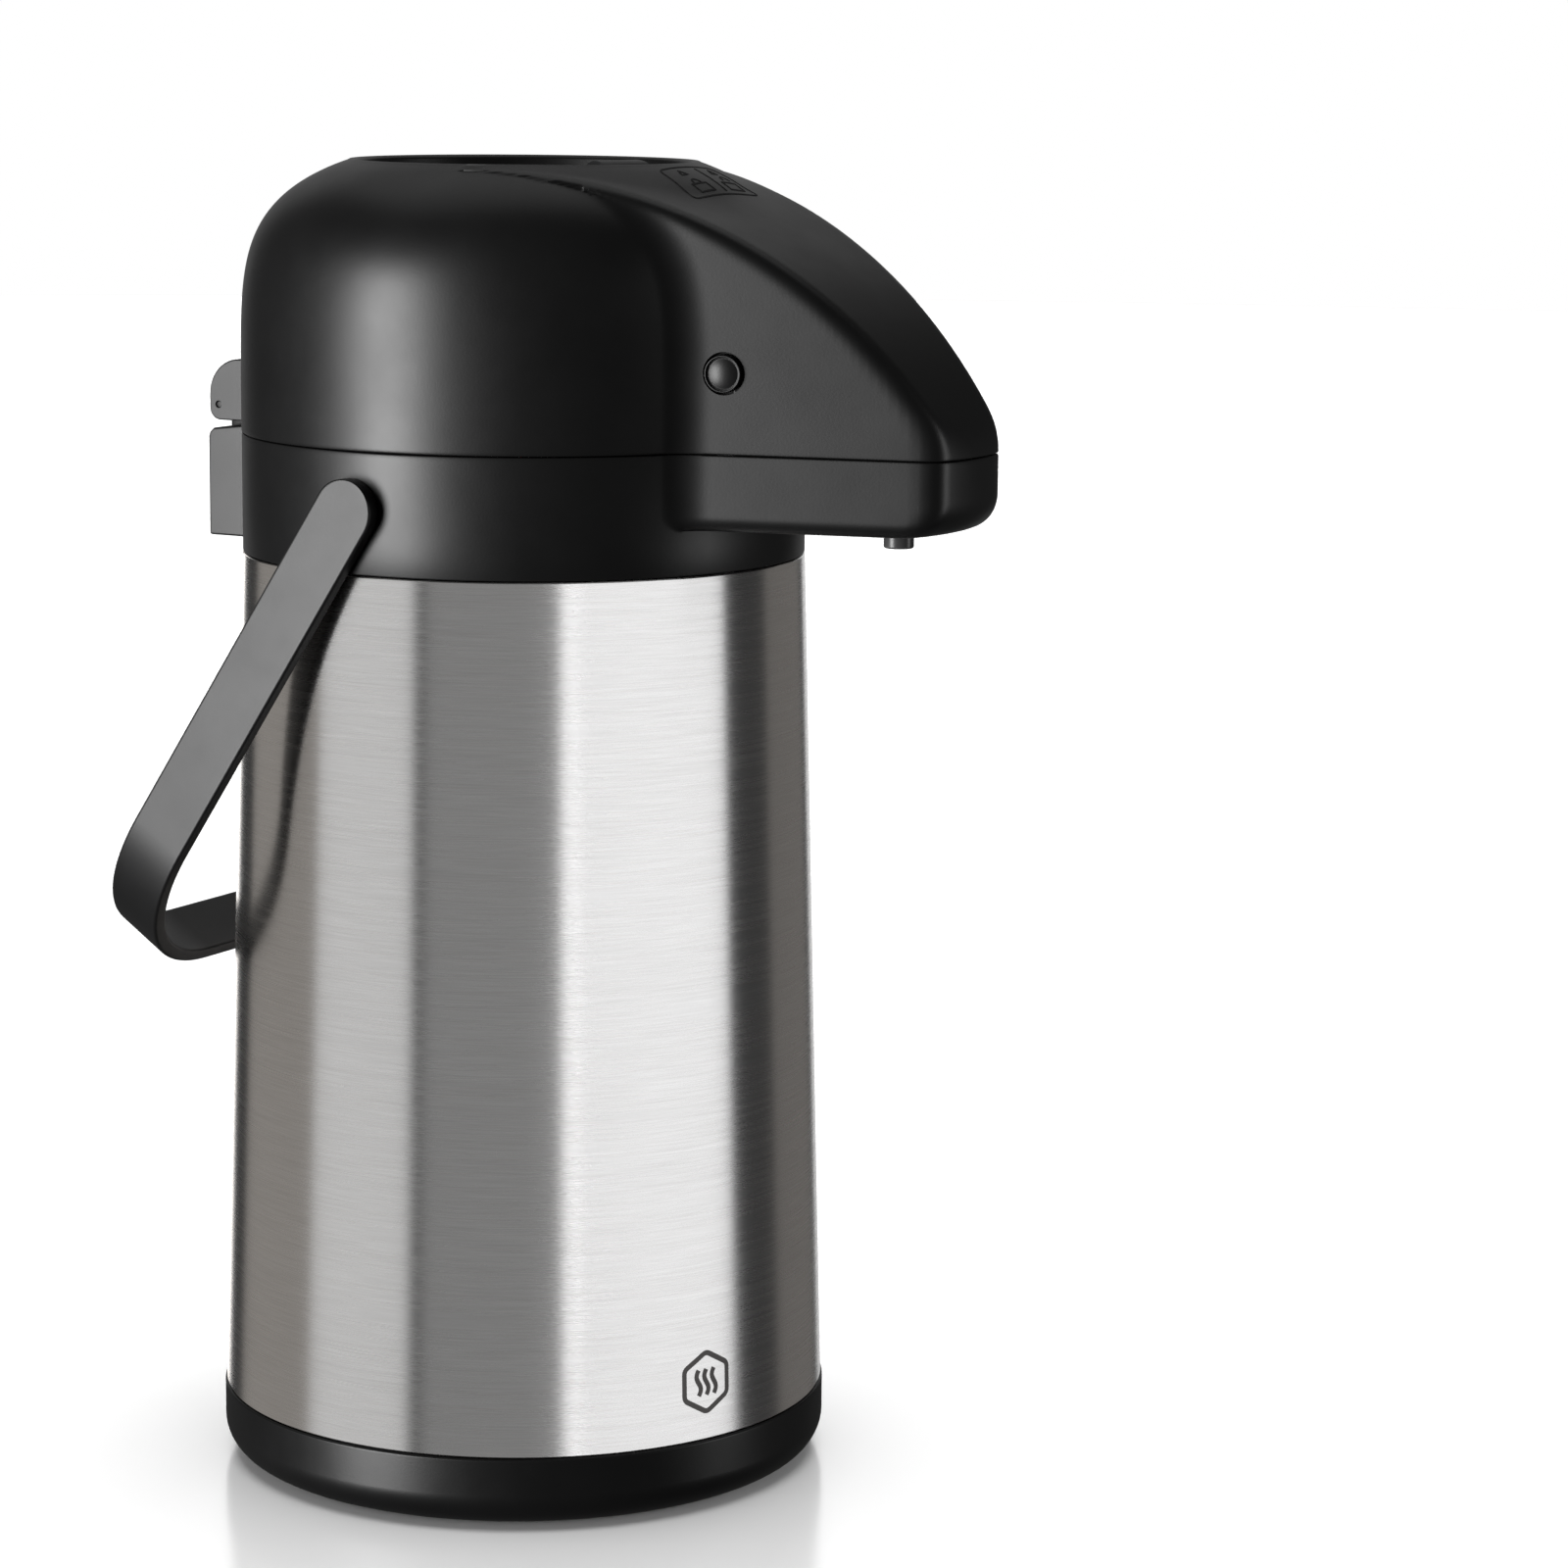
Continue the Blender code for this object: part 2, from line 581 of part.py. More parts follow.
def lid_shell():
    """The dome and the upper half of the beak, with the round well that the press plate runs in."""
    angles = plan_angles()
    levels = []
    for z in (LID_LOW, 0.2940, 0.2990, 0.3060, 0.3140, 0.3220, 0.3300, 0.3380, 0.3450, 0.3510):
        levels.append((z, plan_radius(angles, dome_radius(z), z)))
    for r in (0.0600, 0.0545, 0.0485):
        z = dome_height(r)
        levels.append((z, plan_radius(angles, r, z)))
    levels += [(RIM_TOP, 0.0470), (RIM_TOP - 0.0008, WELL_RADIUS)]
    well = WELL_RADIUS + WELL_WALL
    levels += [(WELL_BOTTOM, WELL_RADIUS), (WELL_BOTTOM, WELL_FLANGE), (WELL_BOTTOM + 0.003, WELL_FLANGE)]
    levels += [(WELL_BOTTOM + 0.003, well), (dome_height(well, SKIN), well)]
    for z in (0.3510, 0.3400, 0.3260, 0.3100, 0.2970, LID_LOW):
        levels.append((z, plan_radius(angles, dome_radius(z, SKIN), z, SKIN)))
    shell = stacked("lid_shell", levels, black_plastic())
    lid_lug(shell)
    for side in (-1, 1):
        middle, out = button_centre(side), side_normal(side)
        drill(shell, middle - 0.006 * out, middle + 0.006 * out, BUTTON_RADIUS + 0.0004, 20)
    for x, y in lid_screw_places():
        drill(shell, (x, y, 0.294), (x, y, 0.301), SCREW_SHANK + GAP, 8)


def lid_base_pieces():
    """The plate that closes the lid below, its screws and the ring that presses on the stopper."""
    low, edge = SEAM_LID + 0.0012, 0.0742
    floor = turned("lid_base", [(0.0050, low), (edge, low), (edge, LID_FLOOR), (0.0050, LID_FLOOR)], inner_plastic(), 32)
    for i, (x, y) in enumerate(lid_screw_places()):
        drill(floor, (x, y, 0.285), (x, y, 0.295), SCREW_SHANK + GAP, 8)
        screw(f"lid_screw_{i + 1}", (x, y, low - GAP), (0, 0, 1), 0.0085)
    ring = [(0.0240, 0.2829), (0.0262, 0.2829), (0.0305, 0.2860), (0.0305, low - GAP), (0.0240, low - GAP)]
    turned("lid_gasket", ring, silicone(), 32)


BELLOWS_LOW = LID_FLOOR + GAP
CAP_LOW, CAP_TOP = 0.3540, 0.3560


def bellows():
    """The rubber air bellows between the lid's floor and the pump's cap."""
    folds, wall = 5, 0.0012
    outer, inner = 0.0400, 0.0335
    low, high = BELLOWS_LOW, CAP_LOW - GAP
    pitch = (high - low - 2 * wall) / folds
    outside = [(inner + 0.002, low), (inner + 0.002, low + wall)]
    for i in range(folds):
        start = low + wall + pitch * i
        outside += [(outer, start + pitch * 0.5), (inner + wall, start + pitch)]
    outside.append((inner + wall, high))
    inside = [(r - wall, z) for r, z in outside[::-1]]
    turned("bellows", outside + inside, rubber(), 20)


def return_spring():
    """The coil spring inside the bellows."""
    turns, steps, sides, wire, radius = 5, 10, 6, 0.0011, 0.0200
    low, high = BELLOWS_LOW + wire + GAP, CAP_LOW - wire - 2 * GAP
    count = turns * steps + 1
    rings = []
    for i in range(count):
        a = 2 * math.pi * i / steps
        out = Vector((math.cos(a), math.sin(a), 0))
        centre = radius * out + Vector((0, 0, low + (high - low) * i / (count - 1)))
        for k in range(sides):
            b = 2 * math.pi * k / sides
            rings.append(centre + wire * (math.cos(b) * out + math.sin(b) * Vector((0, 0, 1))))
    faces = rings_to_faces(count, sides, closed=False)
    faces += [tuple(range(sides)), tuple(range((count - 1) * sides, count * sides))]
    solid("return_spring", rings, faces, spring_steel())


def button_spring():
    """A bent steel strip between the two release buttons."""
    half, thickness, bow = 0.0235, 0.0006, 0.0012
    x, z = BUTTON_X - 0.0040, BUTTON_Z
    outline = []
    for side in (1, -1):
        strip = [(x + bow * math.cos(math.pi * i / 12) ** 2 - side * thickness / 2, i / 12) for i in range(13)]
        strip = strip if side == 1 else strip[::-1]
        outline += [(px, half * (2 * t - 1)) for px, t in strip]
    count = len(outline)
    verts = [(px, py, z - 0.003) for px, py in outline] + [(px, py, z + 0.003) for px, py in outline]
    faces = [tuple(range(count)), tuple(range(count, 2 * count))]
    faces += [(i, (i + 1) % count, (i + 1) % count + count, i + count) for i in range(count)]
    solid("button_spring", verts, faces, spring_steel())


def lid_pieces():
    lid_shell()
    lid_base_pieces()
    bellows()
    return_spring()
    button_spring()


# ---- pump, lock, buttons ------------------------------------------------------------------------
def arc_block(name, outline, half_arc, azimuth, look, steps=6):
    """An outline of (radius, height) points spun through an arc about the main axis."""
    count = len(outline)
    verts = []
    for i in range(steps + 1):
        a = azimuth - half_arc + 2 * half_arc * i / steps
        verts += [(r * math.cos(a), r * math.sin(a), z) for r, z in outline]
    faces = rings_to_faces(steps + 1, count, closed=False)
    faces += [tuple(range(count)), tuple(range(steps * count, (steps + 1) * count))]
    return solid(name, verts, faces, look)


def press_plate():
    """The round plate that the hand presses, with a skirt that guides it in the well."""
    dish, edge, thick = 0.0010, 0.0008, 0.0020
    outline = [(0, PLATE_TOP - dish), (0.018, PLATE_TOP - dish * 0.6), (0.030, PLATE_TOP)]
    outline += [(PLATE_RADIUS - edge, PLATE_TOP), (PLATE_RADIUS, PLATE_TOP - edge)]
    outline += [(PLATE_RADIUS, 0.3520), (PLATE_RADIUS - 0.0018, 0.3520)]
    outline += [(PLATE_RADIUS - 0.0018, PLATE_TOP - thick), (0.012, PLATE_TOP - thick)]
    outline += [(0.010, PLATE_TOP - thick - dish), (0, PLATE_TOP - thick - dish)]
    plate = turned("press_plate", outline, black_plastic(), 32)
    low, high, half = 0.3560, 0.3640, 0.0018
    slot = [(LOCK_MIDDLE - half, low), (LOCK_MIDDLE + half, low)]
    slot += [(LOCK_MIDDLE + half, high), (LOCK_MIDDLE - half, high)]
    reach = LOCK_HALF_ARC + LOCK_TRAVEL / 2 + math.radians(1)
    middle = LOCK_AZIMUTH + LOCK_TRAVEL / 2
    cut(plate, arc_block("lock_slot", slot, reach, middle, cutter_look(), 10))


def lock_tab():
    """The slider that locks the plate: a rounded tab above it, a foot below it."""
    under, over = PLATE_TOP - 0.0020 - GAP, PLATE_TOP + GAP
    half, stem = 0.0045, 0.0015
    outline = [(LOCK_MIDDLE - half, over)]
    outline += arc(LOCK_MIDDLE, over + 0.0012, half, 0.0019, 180, 0, 6)
    outline += [(LOCK_MIDDLE + half, over), (LOCK_MIDDLE + stem, over), (LOCK_MIDDLE + stem, under)]
    outline += [(LOCK_MIDDLE + 0.0035, under), (LOCK_MIDDLE + 0.0035, under - 0.0012)]
    outline += [(LOCK_MIDDLE - 0.0035, under - 0.0012), (LOCK_MIDDLE - 0.0035, under)]
    outline += [(LOCK_MIDDLE - stem, under), (LOCK_MIDDLE - stem, over)]
    arc_block("lock_tab", outline, LOCK_HALF_ARC, LOCK_AZIMUTH, inner_plastic())


def pump_pieces():
    press_plate()
    boss_top = PLATE_TOP - 0.0020 - 0.0010 - GAP
    cap = [(0.0030, CAP_LOW), (0.0405, CAP_LOW), (0.0405, CAP_TOP), (0.0100, CAP_TOP)]
    cap += [(0.0100, boss_top), (0.0030, boss_top)]
    turned("bellows_cap", cap, inner_plastic(), INNER_SEGMENTS)
    flap_top = CAP_LOW - GAP
    flap = [(0, flap_top - 0.0010), (0.0070, flap_top - 0.0010), (0.0070, flap_top), (0, flap_top)]
    turned("intake_flap", flap, rubber(), SMALL_SEGMENTS)
    lock_tab()


def release_button(side):
    """A push button through the beak's wall, with a flange inside and a hook that reaches down."""
    word = "near" if side < 0 else "far"
    centre, out = button_centre(side), side_normal(side)
    back, flange = -0.0046, -0.0030
    dish = 0.0005
    outline = [(0, back), (0.0064, back), (0.0064, flange), (BUTTON_RADIUS, flange)]
    outline += [(BUTTON_RADIUS, BUTTON_PROUD - 0.0005), (BUTTON_RADIUS - 0.0006, BUTTON_PROUD)]
    outline += [(BUTTON_RADIUS - 0.0014, BUTTON_PROUD), (0, BUTTON_PROUD - dish)]
    button = turned(f"release_button_{word}", outline, black_plastic(), 20, centre, out)
    hook_low, half, thick = 0.2832, 0.0030, 0.0018
    inner = abs(centre.y + out.y * back) - 0.0007
    low, high = sorted((side * inner, side * (inner + thick)))
    x = centre.x + out.x * back
    hook = [(x - half, hook_low), (x + half, hook_low), (x + half, BUTTON_Z), (x - half, BUTTON_Z)]
    join(button, prism(f"hook_{word}", hook, low, high, cutter_look()))


# ---- handle -------------------------------------------------------------------------------------
def handle_band():
    """The flat bail: two arms with round ends and a cross-piece, bent from one strip."""
    x0, z0 = HANDLE_PIVOT
    along = Vector((-math.cos(HANDLE_SLOPE), 0, -math.sin(HANDLE_SLOPE)))
    across = Vector((math.sin(HANDLE_SLOPE), 0, -math.cos(HANDLE_SLOPE)))
    half = HANDLE_WIDTH / 2
    straight = HANDLE_REACH - HANDLE_CORNER
    span = HANDLE_HALF_SPAN

    def half_path(inset):
        """(distance from the pivots' axis, sideways) from an arm's end to the middle."""
        r = HANDLE_CORNER - inset
        end = [(-half * math.cos(math.radians(15 * i)), -span + inset) for i in range(0, 7)]
        end += [(straight * i / 3, -span + inset) for i in range(1, 4)]
        bend = arc(straight, -span + HANDLE_CORNER, r, r, -90, 0, 8)[1:]
        return end + bend

    def widths():
        """Half the strip's width at each step of half_path: a round end, then the full width."""
        return [half * math.sin(math.radians(15 * i)) for i in range(0, 7)] + [half] * 11

    verts = []
    rows = []
    for inset in (0.0, HANDLE_THICKNESS):
        path = half_path(inset)
        path += [(s, -y) for s, y in path[::-1]]
        wide = widths() + widths()[::-1]
        for sign in (-1, 1):
            row = []
            for (s, y), w in zip(path, wide):
                row.append(len(verts))
                verts.append(Vector((x0, y, z0)) + along * s + across * (sign * w))
            rows.append(row)
    loop = [rows[0], rows[1], rows[3], rows[2]]
    faces = []
    for i in range(4):
        a, b = loop[i], loop[(i + 1) % 4]
        faces += [(a[k], a[k + 1], b[k + 1], b[k]) for k in range(len(a) - 1)]
    faces += [tuple(row[k] for row in loop) for k in (0, -1)]
    band = solid("handle_band", verts, faces, black_plastic())
    inner = span - HANDLE_THICKNESS
    for side in (-1, 1):
        drill(band, (x0, side * (inner - 0.002), z0), (x0, side * (span - 0.0012), z0), STUD_RADIUS + GAP)


def handle_pieces():
    handle_band()
    x, z = HANDLE_PIVOT
    depth = HANDLE_HALF_SPAN - 0.0015
    for side, word in ((-1, "near"), (1, "far")):
        start, head = 0.0725, 0.0016
        outline = [(0, -head), (0.0042, -head), (0.0042, 0), (STUD_RADIUS, 0)]
        outline += [(STUD_RADIUS, depth - start), (0, depth - start)]
        turned(f"handle_stud_{word}", outline, spring_steel(), 12, (x, side * start, z), (0, side, 0))


# ---- assembly -----------------------------------------------------------------------------------
def carry(name, point, pieces, parent=None):
    """An empty on a joint's axis that carries the pieces which move on it."""
    empty = bpy.data.objects.new(name, None)
    bpy.context.scene.collection.objects.link(empty)
    empty.empty_display_size = 0.02
    point = Vector(point)
    base = Vector(parent["at"]) if parent else Vector((0, 0, 0))
    empty.parent = parent
    empty.location = point - base
    empty["at"] = tuple(point)
    for piece in pieces:
        obj = bpy.data.objects[piece]
        obj.data.transform(Matrix.Translation(-point))
        obj.parent = empty
    return empty


def assemble():
    screws = [f"lid_screw_{i}" for i in range(1, 5)]
    lid_parts = ["lid_shell", "lid_base", "lid_gasket", "bellows", "return_spring", "button_spring"]
    lid = carry("lid_joint", (HINGE_X, 0, HINGE_Z), lid_parts + screws)
    pump = carry("pump_joint", (0, 0, PLATE_TOP), ["press_plate", "bellows_cap", "intake_flap"], lid)
    carry("lock_joint", (0, 0, PLATE_TOP), ["lock_tab"], pump)
    for side, word in ((-1, "near"), (1, "far")):
        carry(f"button_joint_{word}", button_centre(side), [f"release_button_{word}"], lid)
    x, z = HANDLE_PIVOT
    carry("handle_joint", (x, 0, z), ["handle_band", "handle_stud_near", "handle_stud_far"])


def main():
    for obj in list(bpy.data.objects):
        bpy.data.objects.remove(obj, do_unlink=True)
    base_pieces()
    vessel_pieces()
    collar_pieces()
    lid_pieces()
    pump_pieces()
    for side in (-1, 1):
        release_button(side)
    handle_pieces()
    assemble()


main()
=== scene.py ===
"""Looks of the pump airpot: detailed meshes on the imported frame, procedural materials, studio and camera.

Units are metres, +Z is up and +X points from the main axis to the spout, as in the frame.
"""

from math import atan2, copysign, cos, hypot, pi, radians, sin, sqrt, tan

import bmesh
import bpy
import numpy as np
from mathutils import Matrix, Vector


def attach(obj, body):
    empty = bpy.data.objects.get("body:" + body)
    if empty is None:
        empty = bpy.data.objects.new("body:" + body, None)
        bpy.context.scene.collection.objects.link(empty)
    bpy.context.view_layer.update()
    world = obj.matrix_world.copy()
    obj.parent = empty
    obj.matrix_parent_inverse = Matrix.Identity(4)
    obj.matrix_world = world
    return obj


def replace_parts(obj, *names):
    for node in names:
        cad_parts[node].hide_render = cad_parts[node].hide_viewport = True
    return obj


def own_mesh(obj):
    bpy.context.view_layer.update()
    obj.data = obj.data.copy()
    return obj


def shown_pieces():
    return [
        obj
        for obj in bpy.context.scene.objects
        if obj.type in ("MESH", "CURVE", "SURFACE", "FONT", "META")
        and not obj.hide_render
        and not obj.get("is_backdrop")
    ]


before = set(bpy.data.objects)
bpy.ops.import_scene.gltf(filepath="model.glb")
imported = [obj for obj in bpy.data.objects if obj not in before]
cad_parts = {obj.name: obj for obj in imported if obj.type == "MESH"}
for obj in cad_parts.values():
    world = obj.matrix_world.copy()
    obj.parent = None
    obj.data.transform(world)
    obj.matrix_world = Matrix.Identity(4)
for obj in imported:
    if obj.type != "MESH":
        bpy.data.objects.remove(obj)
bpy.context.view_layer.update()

# ---- dimensions, as in the frame ----------------------------------------------------------------
GAP = 0.0003
SEAM_BASE, SEAM_COLLAR, SEAM_LID = 0.0205, 0.2560, 0.2888
BASE_RADIUS, BASE_FILLET, FOOT_PROUD = 0.0850, 0.0095, 0.0008
SHELL_RADIUS_LOW, SHELL_RADIUS_HIGH, SHELL_WALL = 0.0845, 0.0778, 0.0008
COLLAR_RADIUS, SKIN = 0.0777, 0.0024
DOME_RADIUS, DOME_START, DOME_APEX, DOME_POWER = 0.0778, 0.2880, 0.3697, 5.6
RIM_TOP, WELL_RADIUS, WELL_WALL, WELL_BOTTOM = 0.3631, 0.0455, 0.0018, 0.2960
WELL_FLANGE = 0.0560
BEAK_FRONT, BEAK_BOW, BEAK_BOTTOM = 0.1400, 7.5, 0.2683
BEAK_ROOT = (0.0701, 0.0346)
BEAK_TAPER = tan(radians(13.4))
BEAK_ARC = (0.0155, 0.2157, 0.1462)
BEAK_BROW, BEAK_CORNER, BEAK_CORNER_MOST, BEAK_EDGE = 0.0035, 0.0045, 0.0090, 0.0045
BEAK_TOE, BEAK_FILLET = 0.0100, 0.0060
BEAK_FADE_START, BEAK_FADE_SPAN, BEAK_FADE_DEPTH = radians(34), radians(40), 0.3
HINGE_X, HINGE_Z, HINGE_HALF, TONGUE_HALF, PIN_RADIUS = -0.0920, 0.2929, 0.0160, 0.0050, 0.0010
NECK_BORE, NECK_TOP = 0.0290, 0.2672
NOZZLE_X, NOZZLE_RADIUS, NOZZLE_END, PIPE_Z, PIPE_RADIUS = 0.1167, 0.00405, 0.2637, 0.2775, 0.0028
PLATE_TOP, PLATE_RADIUS = 0.3606, 0.0449
LOCK_MIDDLE, LOCK_AZIMUTH, LOCK_HALF_ARC = 0.0360, radians(-14), radians(13)
LOCK_TRAVEL = radians(28)
BUTTON_X, BUTTON_Z, BUTTON_RADIUS, BUTTON_PROUD = 0.0811, 0.3102, 0.0049, 0.0015
HANDLE_PIVOT = (-0.0050, 0.2731)
HANDLE_HALF_SPAN, HANDLE_REACH, HANDLE_SLOPE = 0.0826, 0.1571, radians(56.5)
HANDLE_WIDTH, HANDLE_THICKNESS, HANDLE_CORNER = 0.0176, 0.0042, 0.0467
LID_LOW, LID_FLOOR = SEAM_LID + GAP / 2, 0.2924
CAP_LOW, CAP_TOP = 0.3540, 0.3560


# ---- procedural materials -----------------------------------------------------------------------
class Finish:
    """A Principled material whose sockets are fed by procedural nodes."""

    def __init__(self, name):
        self.material = bpy.data.materials.new(name)
        self.material.use_nodes = True
        self.nodes = self.material.node_tree.nodes
        self.links = self.material.node_tree.links
        self.shader = self.nodes["Principled BSDF"]
        self.place = self.nodes.new("ShaderNodeTexCoord").outputs["Object"]
        self.normal = None

    def fixed(self, **sockets):
        for socket, value in sockets.items():
            self.shader.inputs[socket.replace("_", " ")].default_value = value
        return self

    def noise(self, stretch, detail=2.0, roughness=0.5, distortion=0.0):
        """Noise whose cells per metre along X, Y and Z are given by stretch."""
        mapping = self.nodes.new("ShaderNodeMapping")
        mapping.inputs["Scale"].default_value = stretch if hasattr(stretch, "__len__") else (stretch,) * 3
        self.links.new(self.place, mapping.inputs["Vector"])
        texture = self.nodes.new("ShaderNodeTexNoise")
        texture.inputs["Scale"].default_value = 1.0
        texture.inputs["Detail"].default_value = detail
        texture.inputs["Roughness"].default_value = roughness
        texture.inputs["Distortion"].default_value = distortion
        self.links.new(mapping.outputs["Vector"], texture.inputs["Vector"])
        return texture.outputs["Fac"]

    def between(self, fac, low, high, start=0.3, end=0.7):
        """A number that runs from low to high as fac goes from start to end."""
        spread = self.nodes.new("ShaderNodeMapRange")
        spread.inputs["From Min"].default_value = start
        spread.inputs["From Max"].default_value = end
        spread.inputs["To Min"].default_value = low
        spread.inputs["To Max"].default_value = high
        self.links.new(fac, spread.inputs["Value"])
        return spread.outputs["Result"]

    def colours(self, fac, stops):
        ramp = self.nodes.new("ShaderNodeValToRGB")
        elements = ramp.color_ramp.elements
        while len(elements) < len(stops):
            elements.new(0.5)
        for element, (position, colour) in zip(elements, stops):
            element.position = position
            element.color = (*colour, 1.0)
        self.links.new(fac, ramp.inputs["Fac"])
        return ramp.outputs["Color"]

    def feed(self, socket, output):
        self.links.new(output, self.shader.inputs[socket])
        return self

    def relief(self, height, depth, strength=1.0):
        """Adds bumps of a depth in metres to those already there."""
        bump = self.nodes.new("ShaderNodeBump")
        bump.inputs["Distance"].default_value = depth
        bump.inputs["Strength"].default_value = strength
        self.links.new(height, bump.inputs["Height"])
        if self.normal:
            self.links.new(self.normal, bump.inputs["Normal"])
        self.normal = bump.outputs["Normal"]
        self.links.new(self.normal, self.shader.inputs["Normal"])
        return self


def moulded(name, dark, light, roughness, grain=1600, depth=0.000012, specular=0.5):
    """Moulded plastic: a faint fine grain, slow changes of gloss and a trace of colour variation."""
    made = Finish(name)
    made.fixed(IOR=1.5, Specular_IOR_Level=specular)
    made.feed("Base Color", made.colours(made.noise(38, 3), [(0.3, dark), (0.7, light)]))
    made.feed("Roughness", made.between(made.noise(55, 4, 0.6), roughness - 0.02, roughness + 0.025))
    made.relief(made.noise(grain, 2, 0.55), depth)
    return made.material


def brushed(name, dark, light, roughness, anisotropy, stretch=(60, 60, 3600)):
    """Metal brushed along its long direction: fine streaks in colour, gloss and relief."""
    made = Finish(name)
    made.fixed(Metallic=1.0, Anisotropic=anisotropy, Anisotropic_Rotation=0.25)
    tangent = made.nodes.new("ShaderNodeTangent")
    tangent.direction_type = "RADIAL"
    tangent.axis = "Z"
    made.feed("Tangent", tangent.outputs["Tangent"])
    streaks = made.noise(stretch, 4, 0.62, 0.15)
    broad = made.noise(tuple(s * 0.25 for s in stretch), 3, 0.5)
    made.feed("Base Color", made.colours(streaks, [(0.32, dark), (0.68, light)]))
    made.feed("Roughness", made.between(broad, roughness - 0.025, roughness + 0.025))
    made.relief(streaks, 0.000005)
    return made.material


def polished(name, dark, light, roughness):
    """Drawn or plated steel: small clouds and fine scratches."""
    made = Finish(name)
    made.fixed(Metallic=1.0)
    made.feed("Base Color", made.colours(made.noise(90, 4, 0.6), [(0.3, dark), (0.7, light)]))
    made.feed("Roughness", made.between(made.noise(140, 5, 0.65), roughness - 0.05, roughness + 0.06))
    made.relief(made.noise((900, 900, 240), 3, 0.5), 0.000004)
    return made.material


def elastic(name, dark, light, roughness, scatter=0.0):
    """Rubber or silicone: matt, slightly mottled, with a soft grain."""
    made = Finish(name)
    made.fixed(Subsurface_Weight=scatter, Subsurface_Scale=0.002, Specular_IOR_Level=0.4)
    made.feed("Base Color", made.colours(made.noise(120, 4, 0.6), [(0.3, dark), (0.7, light)]))
    made.feed("Roughness", made.between(made.noise(300, 3, 0.6), roughness - 0.05, roughness + 0.05))
    made.relief(made.noise(1500, 3, 0.6), 0.00002)
    return made.material


BLACK = moulded("satin_black_plastic", (0.0034, 0.0034, 0.0035), (0.0046, 0.0046, 0.0047), 0.39)
HANDLE_BLACK = moulded("handle_black_plastic", (0.0050, 0.0050, 0.0052), (0.0068, 0.0068, 0.0070), 0.42)
BASE_BLACK = moulded("base_black_plastic", (0.0034, 0.0034, 0.0035), (0.0048, 0.0048, 0.0049), 0.36)
INNER = moulded("charcoal_inner_plastic", (0.020, 0.020, 0.021), (0.027, 0.027, 0.028), 0.45)
# The label's strokes: their darker colour is painted shade standing in for the shade in engraved grooves;
# their matt gloss is their own.
GROOVE_SHADE_MARKS = moulded("painted_groove_shade_marks", (0.0015, 0.0015, 0.0015), (0.0022, 0.0022, 0.0022), 0.62, specular=0.3)
PRINT = moulded("printed_mark", (0.030, 0.026, 0.024), (0.042, 0.037, 0.034), 0.50, grain=2400)
NOZZLE = moulded("nozzle_plastic", (0.055, 0.055, 0.056), (0.075, 0.075, 0.076), 0.30)
STEEL = brushed("brushed_steel", (0.560, 0.553, 0.546), (0.650, 0.645, 0.640), 0.27, 0.91)
FLASK_STEEL = polished("drawn_flask_steel", (0.50, 0.50, 0.49), (0.60, 0.60, 0.59), 0.26)
FASTENER = polished("plated_fastener_steel", (0.42, 0.42, 0.41), (0.56, 0.56, 0.54), 0.28)
PIN_STEEL = polished("blackened_pin_steel", (0.020, 0.020, 0.020), (0.045, 0.045, 0.045), 0.42)
RUBBER = elastic("black_rubber", (0.010, 0.010, 0.010), (0.020, 0.020, 0.020), 0.72)
SILICONE = elastic("silicone", (0.50, 0.49, 0.46), (0.60, 0.59, 0.56), 0.50, 0.15)


# ---- mesh helpers -------------------------------------------------------------------------------
def linked(obj):
    bpy.context.scene.collection.objects.link(obj)
    return obj


def mesh_piece(name, verts, faces, look, body, sharp=38):
    """A piece from vertices and faces, on a body of the frame."""
    mesh = bpy.data.meshes.new(name)
    bm = bmesh.new()
    made = [bm.verts.new(v) for v in verts]
    for face in faces:
        corners = [made[i] for i in face]
        if len(set(corners)) >= 3:
            bm.faces.new(corners)
    bmesh.ops.remove_doubles(bm, verts=bm.verts, dist=2e-6)
    bmesh.ops.recalc_face_normals(bm, faces=bm.faces)
    bm.to_mesh(mesh)
    bm.free()
    mesh.materials.append(look)
    mesh.shade_smooth()
    mesh.set_sharp_from_angle(angle=radians(sharp))
    obj = linked(bpy.data.objects.new(name, mesh))
    if body:
        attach(obj, body)
    return obj


def grid_faces(rings, count, closed):
    faces = []
    for i in range(rings if closed else rings - 1):
        j = (i + 1) % rings
        for k in range(count):
            m = (k + 1) % count
            faces.append((i * count + k, i * count + m, j * count + m, j * count + k))
    return faces


def steady(obj):
    """Keeps flat faces flat in the shading beside small roundings."""
    weighted = obj.modifiers.new("steady_normals", "WEIGHTED_NORMAL")
    weighted.keep_sharp = True
    return obj


def softened(points, radius, closed=True, steps=3):
    """An outline with each corner rounded, as far as its neighbours leave room."""
    points = [np.array(p, float) for p in points]
    count = len(points)
    made = []
    for i, p in enumerate(points):
        if not closed and i in (0, count - 1):
            made.append(tuple(p))
            continue
        before, after = points[i - 1] - p, points[(i + 1) % count] - p
        room = min(radius, 0.42 * np.linalg.norm(before), 0.42 * np.linalg.norm(after))
        turn = np.dot(before, after) / (np.linalg.norm(before) * np.linalg.norm(after))
        if turn < -0.94:
            made.append(tuple(p))
            continue
        a = p + before / np.linalg.norm(before) * room
        b = p + after / np.linalg.norm(after) * room
        for k in range(steps + 1):
            t = k / steps
            made.append(tuple((1 - t) ** 2 * a + 2 * t * (1 - t) * p + t * t * b))
    return made


def placed(point, axis):
    turn = Vector((0, 0, 1)).rotation_difference(Vector(axis)).to_matrix().to_4x4()
    return Matrix.Translation(point) @ turn


